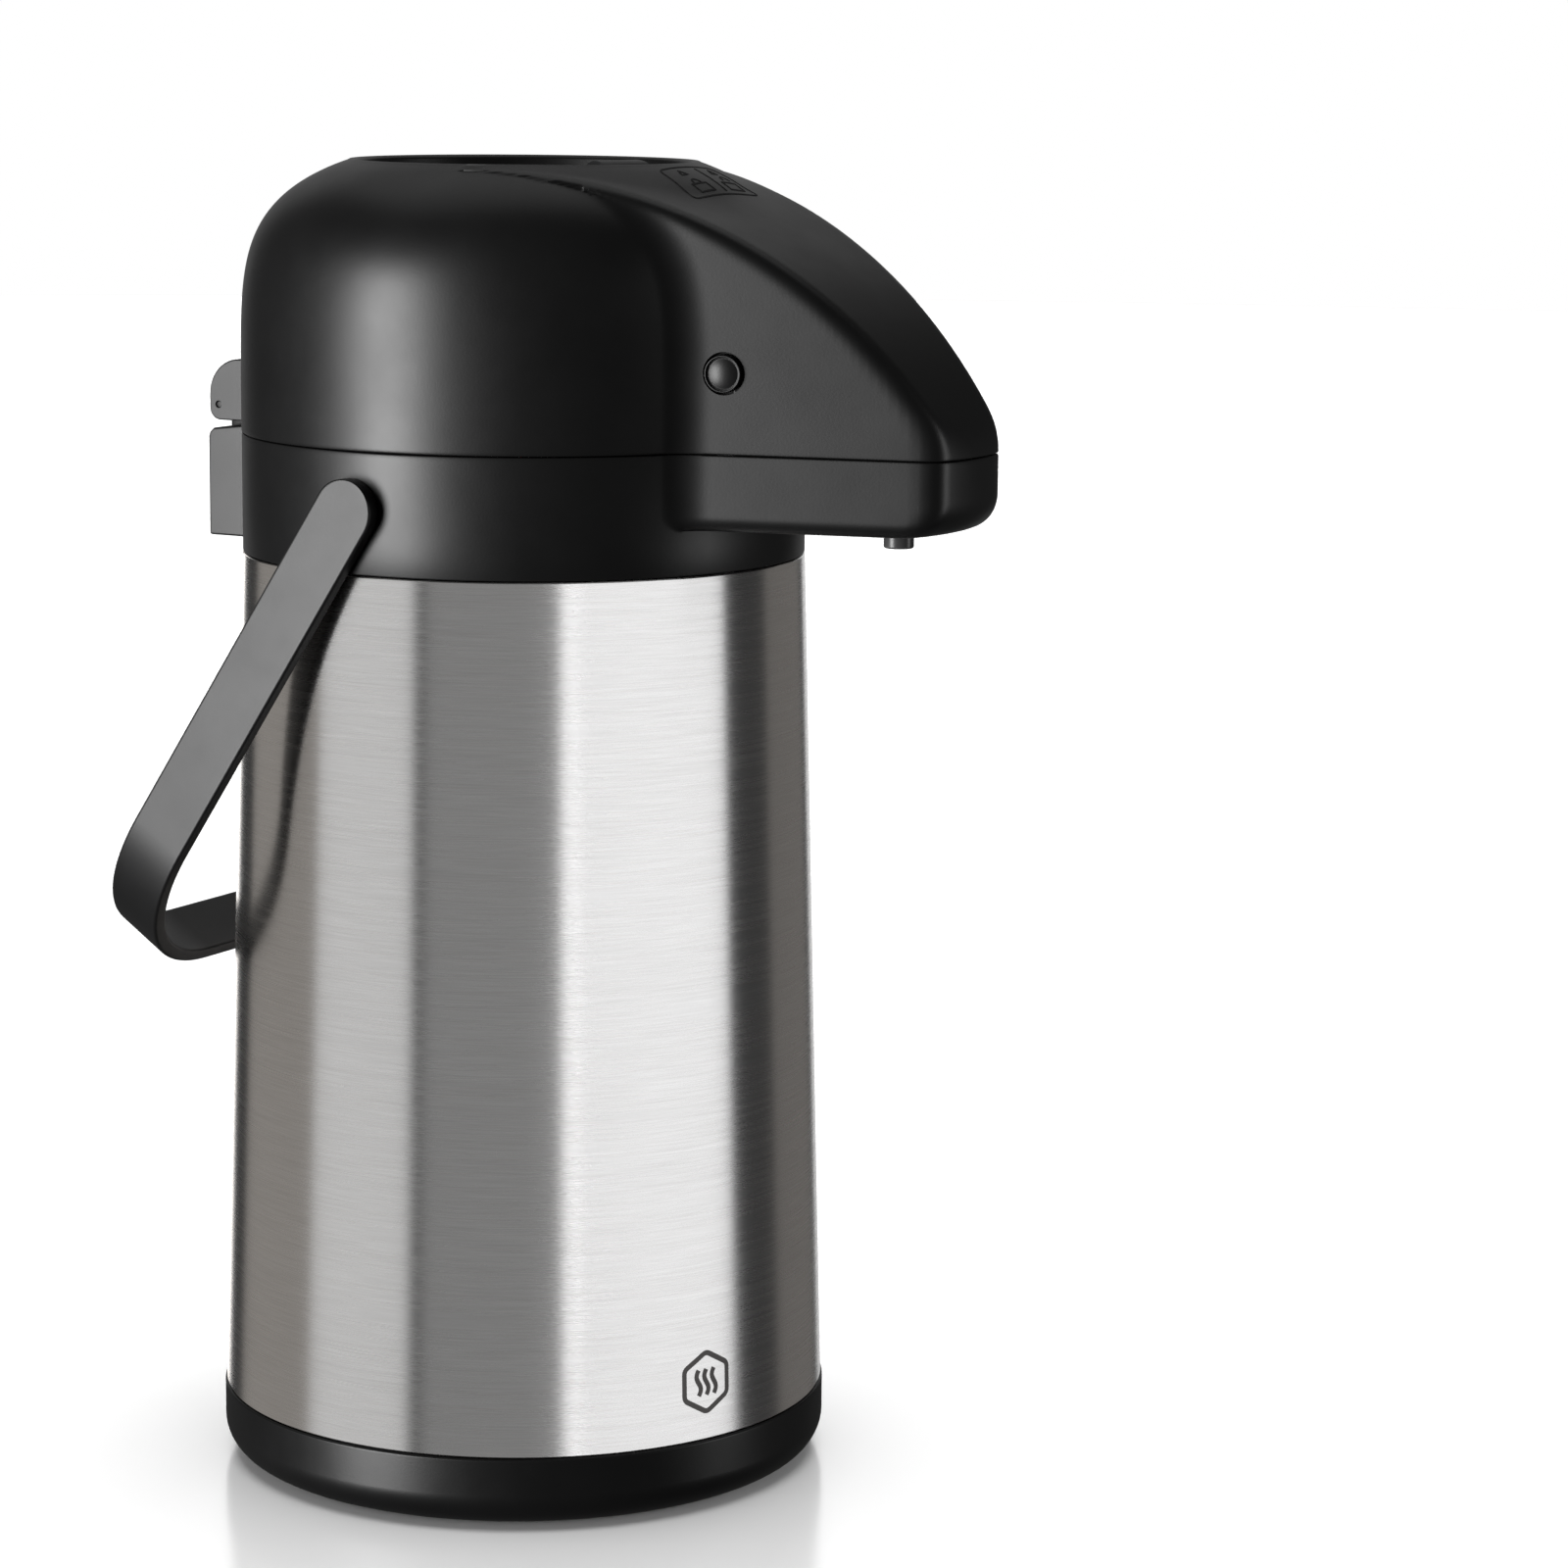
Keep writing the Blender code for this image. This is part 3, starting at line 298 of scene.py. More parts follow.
def turned(name, profile, look, body, segments=128, point=(0, 0, 0), axis=(0, 0, 1), edge=0.0004):
    """A piece turned from an outline of (radius, height), with its edges rounded."""
    open_ended = profile[0][0] == 0 and profile[-1][0] == 0
    outline = softened(profile, edge, closed=not open_ended)
    place = placed(point, axis)
    verts = []
    for r, z in outline:
        for k in range(segments):
            a = 2 * pi * k / segments
            verts.append(place @ Vector((r * cos(a), r * sin(a), z)))
    faces = grid_faces(len(outline), segments, closed=not open_ended)
    return steady(mesh_piece(name, verts, faces, look, body))


def arc(cx, cz, rx, rz, start, end, steps):
    angles = [radians(start + (end - start) * i / steps) for i in range(steps + 1)]
    return [(cx + rx * cos(a), cz + rz * sin(a)) for a in angles]


def oblong(x0, x1, z0, z1):
    return [(x0, z0), (x1, z0), (x1, z1), (x0, z1)]


def round_edges(obj, width, least_angle):
    rounding = obj.modifiers.new("rounding", "BEVEL")
    rounding.width = width
    rounding.segments = 3
    rounding.limit_method = "ANGLE"
    rounding.angle_limit = radians(least_angle)


def slab(name, outline, low, high, look, body, bevel=0.0006):
    """An outline of (x, z) points extruded along Y, with rounded edges."""
    count = len(outline)
    verts = [(x, low, z) for x, z in outline] + [(x, high, z) for x, z in outline]
    faces = [tuple(range(count)), tuple(range(2 * count - 1, count - 1, -1))]
    faces += [(i, (i + 1) % count, (i + 1) % count + count, i + count) for i in range(count)]
    obj = mesh_piece(name, verts, faces, look, body)
    if bevel:
        round_edges(obj, bevel, 50)
    return steady(obj) if body else obj


def settle(obj):
    """Makes the modifiers' result the piece's own mesh."""
    bpy.context.view_layer.update()
    graph = bpy.context.evaluated_depsgraph_get()
    made = bpy.data.meshes.new_from_object(obj.evaluated_get(graph))
    obj.modifiers.clear()
    obj.data = made
    return obj


def carve(obj, *cutters):
    """Takes the cutters away from obj, and removes them."""
    for cutter in cutters:
        step = obj.modifiers.new("cut", "BOOLEAN")
        step.object = cutter
        step.operation = "DIFFERENCE"
    settle(obj)
    for cutter in cutters:
        bpy.data.objects.remove(cutter, do_unlink=True)
    obj.data.set_sharp_from_angle(angle=radians(38))
    return obj


def bore(start, end, radius, segments=64):
    """A round cutter between two points."""
    start, end = Vector(start), Vector(end)
    length = (end - start).length
    place = placed(start, (end - start).normalized())
    verts = []
    for r, z in ((0, 0), (radius, 0), (radius, length), (0, length)):
        for k in range(segments):
            a = 0.11 + 2 * pi * k / segments
            verts.append(place @ Vector((r * cos(a), r * sin(a), z)))
    return mesh_piece("cutter", verts, grid_faces(4, segments, closed=False), BLACK, None)


# ---- the lid's and collar's shared plan ---------------------------------------------------------
def plan_angles():
    half = [radians(0.5 * i) for i in range(88)]
    half += [radians(44 + 2 * i) for i in range(68)]
    return np.array([-a for a in half[:0:-1]] + half + [pi])


ANGLES = plan_angles()


def beak_reach(z, half_width=0.0):
    """How far the beak reaches at a height: a toe radius, a bowed upright face, then the sloping top."""
    face = BEAK_FRONT - BEAK_BOW * half_width**2
    if z < BEAK_BOTTOM + BEAK_TOE:
        drop = BEAK_TOE - (z - BEAK_BOTTOM)
        return face - BEAK_TOE + sqrt(max(BEAK_TOE**2 - drop**2, 0))
    arc_x, arc_z, arc_radius = BEAK_ARC
    top = arc_x + sqrt(max(arc_radius**2 - (z - arc_z) ** 2, 0))
    overlap = max(BEAK_BROW - abs(face - top), 0) / BEAK_BROW
    return min(face, top) - overlap**2 * BEAK_BROW / 4


def beak_inset(z):
    """How far the rounding under the beak pulls its side walls in."""
    if z >= BEAK_BOTTOM + BEAK_EDGE:
        return 0.0
    drop = BEAK_EDGE - (z - BEAK_BOTTOM)
    return BEAK_EDGE - sqrt(max(BEAK_EDGE**2 - drop**2, 0))


def beak_radius(angles, z, shift, inset):
    """Distance from the axis to the beak's outline in each direction."""
    def side_at(x):
        return BEAK_ROOT[1] - inset - BEAK_TAPER * (x - BEAK_ROOT[0])

    def front_at(y):
        return beak_reach(z + (shift if z > SEAM_LID else 0), y) - shift

    steepness = (beak_reach(z) - beak_reach(z + 0.001)) / 0.001
    along = min(BEAK_CORNER * sqrt(1 + max(steepness, 0) ** 2), BEAK_CORNER_MOST)
    corner_y = side_at(front_at(0.02))
    start_y = max(corner_y - BEAK_CORNER, 0.001)
    start = np.array([front_at(start_y), start_y])
    bend = np.array([front_at(corner_y), corner_y])
    end_x = max(bend[0] - along, 0.01)
    end = np.array([end_x, side_at(end_x)])
    points = [np.array([front_at(start_y * i / 24), start_y * i / 24]) for i in range(24)]
    for i in range(61):
        t = i / 60
        points.append((1 - t) ** 2 * start + 2 * t * (1 - t) * bend + t * t * end)
    points = np.array(points)
    bearing = np.arctan2(points[:, 1], points[:, 0])
    distance = np.hypot(points[:, 0], points[:, 1])
    turn = np.abs(angles)
    near = np.interp(turn, bearing, distance)
    side_line = BEAK_ROOT[1] - inset + BEAK_TAPER * BEAK_ROOT[0]
    slant = np.sin(turn) + BEAK_TAPER * np.cos(turn)
    # Towards the back the side walls sink into the dome, so that they leave no ridge on it.
    fade = np.clip((turn - BEAK_FADE_START) / BEAK_FADE_SPAN, 0, 1)
    side = side_line / np.maximum(slant, 0.05) * (1 - BEAK_FADE_DEPTH * fade**2 * (3 - 2 * fade))
    return np.where(turn <= bearing[-1], near, np.where(turn < radians(100), side, 0.0))


def blended(a, b, width):
    overlap = np.maximum(width - np.abs(a - b), 0) / width
    return np.maximum(a, b) + overlap**2 * width / 4


def plan_radius(angles, circle, z, wall=0.0):
    """The outline at a height: the circle and the beak, run together with a fillet."""
    beak = beak_radius(angles, z, wall, wall + beak_inset(z))
    return blended(np.full_like(angles, circle), beak, BEAK_FILLET)


def dome_radius(z, inset=0.0):
    rise = (z - DOME_START) / (DOME_APEX - inset - DOME_START)
    return (DOME_RADIUS - inset) * sqrt(max(1 - max(rise, 0) ** DOME_POWER, 0))


def dome_height(radius, inset=0.0):
    share = 1 - (radius / (DOME_RADIUS - inset)) ** 2
    return DOME_START + (DOME_APEX - inset - DOME_START) * share ** (1 / DOME_POWER)


def stacked(name, levels, look, body):
    """A closed shell through a loop of levels, each a height and a distance in every direction."""
    verts = []
    for z, distance in levels:
        distance = np.broadcast_to(distance, ANGLES.shape)
        verts += [(r * cos(a), r * sin(a), z) for r, a in zip(distance, ANGLES)]
    return mesh_piece(name, verts, grid_faces(len(levels), len(ANGLES), closed=True), look, body)


def side_normal(side):
    length = hypot(1, BEAK_TAPER)
    return Vector((BEAK_TAPER / length, side / length, 0))


def button_centre(side):
    y = BEAK_ROOT[1] - BEAK_TAPER * (BUTTON_X - BEAK_ROOT[0])
    return Vector((BUTTON_X, side * y, BUTTON_Z))


def spread(low, high, count):
    return [low + (high - low) * i / (count - 1) for i in range(count)]


# ---- lid ----------------------------------------------------------------------------------------
def make_lid():
    lip = 0.0004
    levels = []
    for rise, back in ((0.0, lip), (0.0001, lip * 0.4), (lip, 0.0)):
        z = LID_LOW + rise
        levels.append((z, plan_radius(ANGLES, dome_radius(z), z) - back))
    for z in spread(LID_LOW + 0.0012, 0.3510, 62):
        levels.append((z, plan_radius(ANGLES, dome_radius(z), z)))
    for r in spread(0.0676, 0.0485, 22):
        z = dome_height(r)
        levels.append((z, plan_radius(ANGLES, r, z)))
    levels += [(RIM_TOP + 0.00012, 0.0477), (RIM_TOP, 0.0467), (RIM_TOP - 0.0004, 0.0459)]
    levels += [(RIM_TOP - 0.0010, WELL_RADIUS), (WELL_BOTTOM, WELL_RADIUS), (WELL_BOTTOM, WELL_FLANGE)]
    well = WELL_RADIUS + WELL_WALL
    levels += [(WELL_BOTTOM + 0.003, WELL_FLANGE), (WELL_BOTTOM + 0.003, well)]
    levels.append((dome_height(well, SKIN), well))
    for z in spread(0.3510, 0.2970, 24) + [LID_LOW]:
        levels.append((z, plan_radius(ANGLES, dome_radius(z, SKIN), z, SKIN)))
    shell = stacked("lid_dome_and_beak", levels, BLACK, "lid")
    make_label(levels[3:87])
    cutters = []
    for side in (-1, 1):
        middle, out = button_centre(side), side_normal(side)
        cutters.append(bore(middle - 0.006 * out, middle + 0.006 * out, BUTTON_RADIUS + 0.0008))
    carve(shell, *cutters)
    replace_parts(shell, "lid_shell")
    lug_pieces()


def lug_pieces():
    """The two hinge cheeks with the bridge over the tongue."""
    top, outer, bottom = 0.3059, -0.0951, SEAM_LID - 0.0003
    corner, toe, room = 0.0100, 0.0034, 0.0042
    outline = [(-0.0765, top)] + arc(outer + corner, top - corner, corner, corner, 90, 180, 12)
    outline += arc(outer + toe, bottom + toe, toe, toe, 180, 270, 8)
    outline += [(-0.0790, bottom), (-0.0765, bottom + 0.0005)]
    lug = slab("hinge_lug", outline, -HINGE_HALF, HINGE_HALF, BLACK, "lid", 0.0005)
    settle(lug)
    half = TONGUE_HALF + GAP
    slot = oblong(-0.1000, HINGE_X + room, 0.2800, HINGE_Z + room)
    cutter = slab("cutter", slot, -half, half, BLACK, None, 0)
    carve(lug, cutter, bore((HINGE_X, -0.02, HINGE_Z), (HINGE_X, 0.02, HINGE_Z), PIN_RADIUS + 0.0001, 24))
    steady(lug)


# ---- collar -------------------------------------------------------------------------------------
def make_collar():
    low, high = SEAM_COLLAR + GAP, SEAM_LID - GAP / 2
    lip = 0.0004
    outside = [(low, COLLAR_RADIUS - lip), (low + 0.0001, COLLAR_RADIUS - lip * 0.4)]
    outside += [(z, COLLAR_RADIUS) for z in (low + lip, BEAK_BOTTOM - 0.0005, BEAK_BOTTOM)]
    for z in spread(BEAK_BOTTOM, BEAK_BOTTOM + BEAK_TOE + 0.0004, 22) + spread(0.2800, high - lip, 8):
        outside.append((z, plan_radius(ANGLES, COLLAR_RADIUS, z)))
    for rise, back in ((0.0001, lip * 0.4), (0.0, lip)):
        outside.append((high - rise, plan_radius(ANGLES, COLLAR_RADIUS, high) - back))
    inner = COLLAR_RADIUS - SKIN
    tray = BEAK_BOTTOM + SKIN
    inside = [(high, plan_radius(ANGLES, inner, high, SKIN))]
    for z in spread(0.2790, tray, 14):
        inside.append((z, plan_radius(ANGLES, inner, z, SKIN)))
    inside += [(tray, inner), (low, inner)]
    ring = stacked("collar_and_beak_tray", outside + inside, BLACK, "vessel")
    x, z = HANDLE_PIVOT
    cutters = [bore((NOZZLE_X, 0, 0.26), (NOZZLE_X, 0, 0.28), NOZZLE_RADIUS + 0.0004)]
    for side in (-1, 1):
        cutters.append(bore((x, side * 0.070, z), (x, side * 0.085, z), 0.0045))
    carve(ring, *cutters)
    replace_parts(ring, "collar")


def make_hinge_bracket():
    outer = -0.0957
    outline = [(-0.0770, 0.2557), (outer, 0.2557), (outer, 0.2838), (-0.0953, 0.2850), (-0.0940, 0.2862)]
    outline += [(-0.0800, 0.2878), (-0.0770, 0.2878)]
    block = slab("hinge_block", outline, -HINGE_HALF, HINGE_HALF, BLACK, "vessel", 0.0007)
    settle(block)
    fit = COLLAR_RADIUS + GAP * 0.5
    carve(block, bore((0, 0, 0.24), (0, 0, 0.30), fit, 256))
    steady(block)
    r = 0.0036
    tongue = arc(HINGE_X, HINGE_Z, r, r, 0, 180, 24)
    tongue += [(HINGE_X - r, 0.2840), (HINGE_X + r, 0.2840)]
    piece = slab("hinge_tongue", tongue, -TONGUE_HALF, TONGUE_HALF, BLACK, "vessel", 0.0004)
    settle(piece)
    carve(piece, bore((HINGE_X, -0.02, HINGE_Z), (HINGE_X, 0.02, HINGE_Z), PIN_RADIUS + 0.0001, 24))
    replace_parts(block, "hinge_bracket")
    end = HINGE_HALF - 0.0004
    pin = oblong(0, PIN_RADIUS, -end, end)
    place = (HINGE_X, 0, HINGE_Z)
    pin = turned("hinge_axle", pin, PIN_STEEL, "vessel", 32, place, (0, 1, 0), 0.0003)
    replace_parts(pin, "hinge_pin")


# ---- body and base ------------------------------------------------------------------------------
def make_body():
    low, high, edge = SEAM_BASE + GAP, SEAM_COLLAR, 0.0003
    taper = (SHELL_RADIUS_LOW - SHELL_RADIUS_HIGH) / (high - low)
    outline = [(SHELL_RADIUS_LOW - SHELL_WALL, low), (SHELL_RADIUS_LOW - edge, low)]
    outline += [(SHELL_RADIUS_LOW - taper * (z - low), z) for z in spread(low + edge, high - edge, 40)]
    outline += [(SHELL_RADIUS_HIGH - edge, high), (SHELL_RADIUS_HIGH - SHELL_WALL, high)]
    body = turned("steel_body", outline, STEEL, "vessel", 256, edge=0.0001)
    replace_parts(body, "outer_shell")
    pad_radius, pad_top, floor, ledge = 0.0730, 0.0023, 0.0050, 0.0834
    cup = [(0, pad_top + GAP), (pad_radius + GAP, pad_top + GAP), (pad_radius + GAP, FOOT_PROUD)]
    corner = BASE_RADIUS - BASE_FILLET
    cup += arc(corner, FOOT_PROUD + BASE_FILLET, BASE_FILLET, BASE_FILLET, -90, 0, 14)
    cup += [(BASE_RADIUS, SEAM_BASE - 0.0004), (BASE_RADIUS - 0.0004, SEAM_BASE), (ledge, SEAM_BASE)]
    cup += [(ledge, 0.0275), (ledge - 0.0020, 0.0275), (ledge - 0.0020, 0.0100), (0.0755, floor), (0, floor)]
    base = turned("base_moulding", cup, BASE_BLACK, "vessel", 256, edge=0.0002)
    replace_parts(base, "base_cup")


# ---- handle -------------------------------------------------------------------------------------
def make_handle():
    x0, z0 = HANDLE_PIVOT
    along = Vector((-cos(HANDLE_SLOPE), 0, -sin(HANDLE_SLOPE)))
    across = Vector((sin(HANDLE_SLOPE), 0, -cos(HANDLE_SLOPE)))
    half = HANDLE_WIDTH / 2
    straight = HANDLE_REACH - HANDLE_CORNER
    span = HANDLE_HALF_SPAN
    ends = 14

    def half_path(inset):
        r = HANDLE_CORNER - inset
        turns = [pi / 2 * i / ends for i in range(ends + 1)]
        path = [(-half * cos(a), -span + inset) for a in turns]
        path += [(straight * i / 16, -span + inset) for i in range(1, 17)]
        return path + arc(straight, -span + HANDLE_CORNER, r, r, -90, 0, 28)[1:]

    wide = [half * sin(pi / 2 * i / ends) for i in range(ends + 1)] + [half] * 44
    edge = 0.0009
    outer, inner = half_path(0.0), half_path(HANDLE_THICKNESS)
    outer += [(s, -y) for s, y in outer[::-1]]
    inner += [(s, -y) for s, y in inner[::-1]]
    wide = wide + wide[::-1]
    verts = []
    corners = softened(oblong(-half, half, 0, HANDLE_THICKNESS), edge, True, 4)
    for (s, y), (s2, y2), w in zip(outer, inner, wide):
        for u, v in corners:
            t = v / HANDLE_THICKNESS
            reach = copysign(min(abs(u), half), u)
            squeeze = w / half
            point = Vector((x0, y + (y2 - y) * t, z0)) + along * (s + (s2 - s) * t) + across * reach * squeeze
            verts.append(point)
    count = len(corners)
    faces = grid_faces(len(outer), count, closed=False)
    faces += [tuple(range(count)), tuple(range((len(outer) - 1) * count, len(outer) * count))]
    band = mesh_piece("bail_handle", verts, faces, HANDLE_BLACK, "handle", 50)
    steady(band)
    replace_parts(band, "handle_band")


# ---- buttons ------------------------------------------------------------------------------------
def make_button(side):
    word, body = ("near", "button_near") if side < 0 else ("far", "button_far")
    centre, out = button_centre(side), side_normal(side)
    back, flange = -0.0046, -0.0030
    ring, groove, dome = BUTTON_RADIUS - 0.0004, BUTTON_PROUD - 0.0005, BUTTON_PROUD + 0.0001
    outline = [(0, back), (0.0064, back), (0.0064, flange), (BUTTON_RADIUS, flange)]
    outline += [(BUTTON_RADIUS, BUTTON_PROUD - 0.0002), (BUTTON_RADIUS - 0.0001, BUTTON_PROUD)]
    outline += [(ring, BUTTON_PROUD), (ring - 0.0001, groove), (ring - 0.0003, groove)]
    outline += [(r, dome - 0.0009 * (r / 0.0041) ** 2) for r in spread(0.0041, 0.0, 12)]
    cap = turned(f"button_cap_{word}", outline, BLACK, body, 96, centre, out, 0.00015)
    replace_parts(cap, f"release_button_{word}")
    hook_low, half, thick = 0.2832, 0.0030, 0.0018
    inner = abs(centre.y + out.y * back) - 0.0007
    low, high = sorted((side * inner, side * (inner + thick)))
    x = centre.x + out.x * back
    hook = oblong(x - half, x + half, hook_low, BUTTON_Z - 0.004)
    slab(f"button_hook_{word}", hook, low, high, BLACK, body, 0.0004)


# ---- pump ---------------------------------------------------------------------------------------
def arc_piece(name, outline, half_arc, azimuth, look, body, steps=24):
    count = len(outline)
    verts = []
    for i in range(steps + 1):
        a = azimuth - half_arc + 2 * half_arc * i / steps
        verts += [(r * cos(a), r * sin(a), z) for r, z in outline]
    faces = grid_faces(steps + 1, count, closed=False)
    faces += [tuple(range(count)), tuple(range(steps * count, (steps + 1) * count))]
    return mesh_piece(name, verts, faces, look, body)


def make_pump():
    dish, edge, thick = 0.0010, 0.0008, 0.0020
    outline = [(0, PLATE_TOP - dish), (0.018, PLATE_TOP - dish * 0.6), (0.030, PLATE_TOP)]
    outline += [(PLATE_RADIUS - edge, PLATE_TOP), (PLATE_RADIUS, PLATE_TOP - edge)]
    outline += [(PLATE_RADIUS, 0.3520), (PLATE_RADIUS - 0.0018, 0.3520)]
    outline += [(PLATE_RADIUS - 0.0018, PLATE_TOP - thick), (0.012, PLATE_TOP - thick)]
    outline += [(0.010, PLATE_TOP - thick - dish), (0, PLATE_TOP - thick - dish)]
    plate = turned("push_plate", outline, BLACK, "pump", 128)
    settle(plate)
    half = 0.0018
    slot = oblong(LOCK_MIDDLE - half, LOCK_MIDDLE + half, 0.3560, 0.3640)
    reach = LOCK_HALF_ARC + LOCK_TRAVEL / 2 + radians(1)
    carve(plate, arc_piece("cutter", slot, reach, LOCK_AZIMUTH + LOCK_TRAVEL / 2, BLACK, None, 40))
    steady(plate)
    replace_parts(plate, "press_plate")
    under, over = PLATE_TOP - 0.0020 - GAP, PLATE_TOP + GAP
    half, stem = 0.0045, 0.0015
    tab = [(LOCK_MIDDLE - half, over)] + arc(LOCK_MIDDLE, over + 0.0012, half, 0.0019, 180, 0, 14)
    tab += [(LOCK_MIDDLE + half, over), (LOCK_MIDDLE + stem, over), (LOCK_MIDDLE + stem, under)]
    tab += [(LOCK_MIDDLE + 0.0035, under), (LOCK_MIDDLE + 0.0035, under - 0.0012)]
    tab += [(LOCK_MIDDLE - 0.0035, under - 0.0012), (LOCK_MIDDLE - 0.0035, under)]
    tab += [(LOCK_MIDDLE - stem, under), (LOCK_MIDDLE - stem, over)]
    lock = arc_piece("lock_slider", tab, LOCK_HALF_ARC, LOCK_AZIMUTH, INNER, "lock")
    round_edges(lock, 0.0004, 60)
    steady(lock)
    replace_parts(lock, "lock_tab")


# ---- what the open lid shows --------------------------------------------------------------------
def make_inside():
    low, edge = SEAM_LID + 0.0012, 0.0742
    floor = oblong(0.0050, edge, low, LID_FLOOR)
    under_plate = turned("lid_underplate", floor, INNER, "lid", 128, edge=0.0005)
    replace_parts(under_plate, "lid_base")
    ring = [(0.0240, 0.2829), (0.0262, 0.2829), (0.0305, 0.2860), (0.0305, low - GAP), (0.0240, low - GAP)]
    piece = turned("lid_sealing_ring", ring, SILICONE, "lid", 96, edge=0.0008)
    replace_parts(piece, "lid_gasket")
    inner, tray = PIPE_RADIUS + GAP, BEAK_BOTTOM + SKIN + GAP
    tip = [(inner, NOZZLE_END), (NOZZLE_RADIUS - 0.0003, NOZZLE_END)]
    tip += [(NOZZLE_RADIUS, NOZZLE_END + 0.0004), (NOZZLE_RADIUS, tray), (0.0062, tray)]
    tip += [(0.0062, tray + 0.0010), (inner, tray + 0.0010)]
    piece = turned("spout_nozzle", tip, NOZZLE, "vessel", 64, (NOZZLE_X, 0, 0), edge=0.0003)
    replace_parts(piece, "nozzle")
    folds, wall, outer, inner = 5, 0.0012, 0.0400, 0.0335
    start, high = LID_FLOOR + GAP, CAP_LOW - GAP
    pitch = (high - start - 2 * wall) / folds
    outside = [(inner + 0.002, start), (inner + 0.002, start + wall)]
    for i in range(folds):
        base = start + wall + pitch * i
        outside += [(outer, base + pitch * 0.5), (inner + wall, base + pitch)]
    outside.append((inner + wall, high))
    inside = [(r - wall, z) for r, z in outside[::-1]]
    piece = turned("rubber_bellows", outside + inside, RUBBER, "lid", 96, edge=0.0012)
    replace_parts(piece, "bellows")
    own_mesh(piece)
    make_spring(start)
    flap = oblong(0, 0.0070, high - 0.0010, high)
    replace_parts(turned("air_flap", flap, RUBBER, "pump", 64, edge=0.0003), "intake_flap")
    boss = PLATE_TOP - 0.0030 - GAP
    cap = [(0.0030, CAP_LOW), (0.0405, CAP_LOW), (0.0405, CAP_TOP)]
    cap += [(0.0100, CAP_TOP), (0.0100, boss), (0.0030, boss)]
    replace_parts(turned("pump_cap", cap, INNER, "pump", edge=0.0005), "bellows_cap")
    places = round_places(4, 0.0520, 49.5)
    carve(under_plate, *[bore((x, y, 0.285), (x, y, 0.295), 0.0019, 32) for x, y in places])
    steady(under_plate)
    for i, (x, y) in enumerate(places):
        cross_screw(f"lid_fixing_{i + 1}", f"lid_screw_{i + 1}", (x, y, low - GAP), (0, 0, 1), 0.0085, "lid")


def round_places(count, radius, first):
    turns = [radians(first) + 2 * pi * i / count for i in range(count)]
    return [(radius * cos(a), radius * sin(a)) for a in turns]


def cross_screw(name, node, point, axis, length, body):
    """A pan-head screw with a cross recess and a threaded shank. point is under its head."""
    head, shank, back, pitch = 0.0036, 0.0016, -0.0018, 0.0007
    outline = [(0, back), (head * 0.55, back), (head * 0.84, back * 0.78), (head, back * 0.35), (head, 0)]
    outline += [(shank * 0.8, 0)]
    for i in range(int(length * 0.9 / pitch)):
        outline += [(shank * 0.8, pitch * (i + 0.5)), (shank, pitch * (i + 0.9))]
    outline += [(shank * 0.7, length * 0.94), (0, length)]
    screw = turned(name, outline, FASTENER, body, 32, point, axis, 0.0001)
    settle(screw)
    turn = placed(point, axis)
    cutters = []
    for i, (long, wide) in enumerate(((0.0021, 0.00035), (0.00034, 0.0020))):
        corners = [(x * long, y * wide, z) for z in (back - 0.001, back + 0.0008 + 0.00003 * i)
                   for x, y in ((-1, -1), (1, -1), (1, 1), (-1, 1))]
        verts = [turn @ Vector(corner) for corner in corners]
        faces = [(0, 3, 2, 1), (4, 5, 6, 7), (0, 1, 5, 4), (1, 2, 6, 5), (2, 3, 7, 6), (3, 0, 4, 7)]
        cutters.append(mesh_piece("cutter", verts, faces, BLACK, None))
    carve(screw, *cutters)
    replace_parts(screw, node)


def swept(name, rings, look, body, closed):
    """A surface through rings of points: a loop of rings when closed, else capped at its ends."""
    count = len(rings[0])
    verts = [point for ring in rings for point in ring]
    faces = grid_faces(len(rings), count, closed)
    if not closed:
        faces += [tuple(range(count)), tuple(range((len(rings) - 1) * count, len(rings) * count))]
    return mesh_piece(name, verts, faces, look, body)


def make_spring(floor):
    """The pump's coil spring, drawn at one fixed length."""
    coils, steps, sides, wire, radius = 5, 48, 16, 0.0011, 0.0200
    low, high = floor + wire + GAP, CAP_LOW - wire - 2 * GAP
    rings = []
    for i in range(coils * steps + 1):
        a = 2 * pi * i / steps
        out = Vector((cos(a), sin(a), 0))
        centre = radius * out + Vector((0, 0, low + (high - low) * i / (coils * steps)))
        turns = [2 * pi * k / sides for k in range(sides)]
        rings.append([centre + wire * (cos(b) * out + sin(b) * Vector((0, 0, 1))) for b in turns])
    coil = swept("pump_spring", rings, FASTENER, "lid", False)
    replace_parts(coil, "return_spring")
    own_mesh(coil)


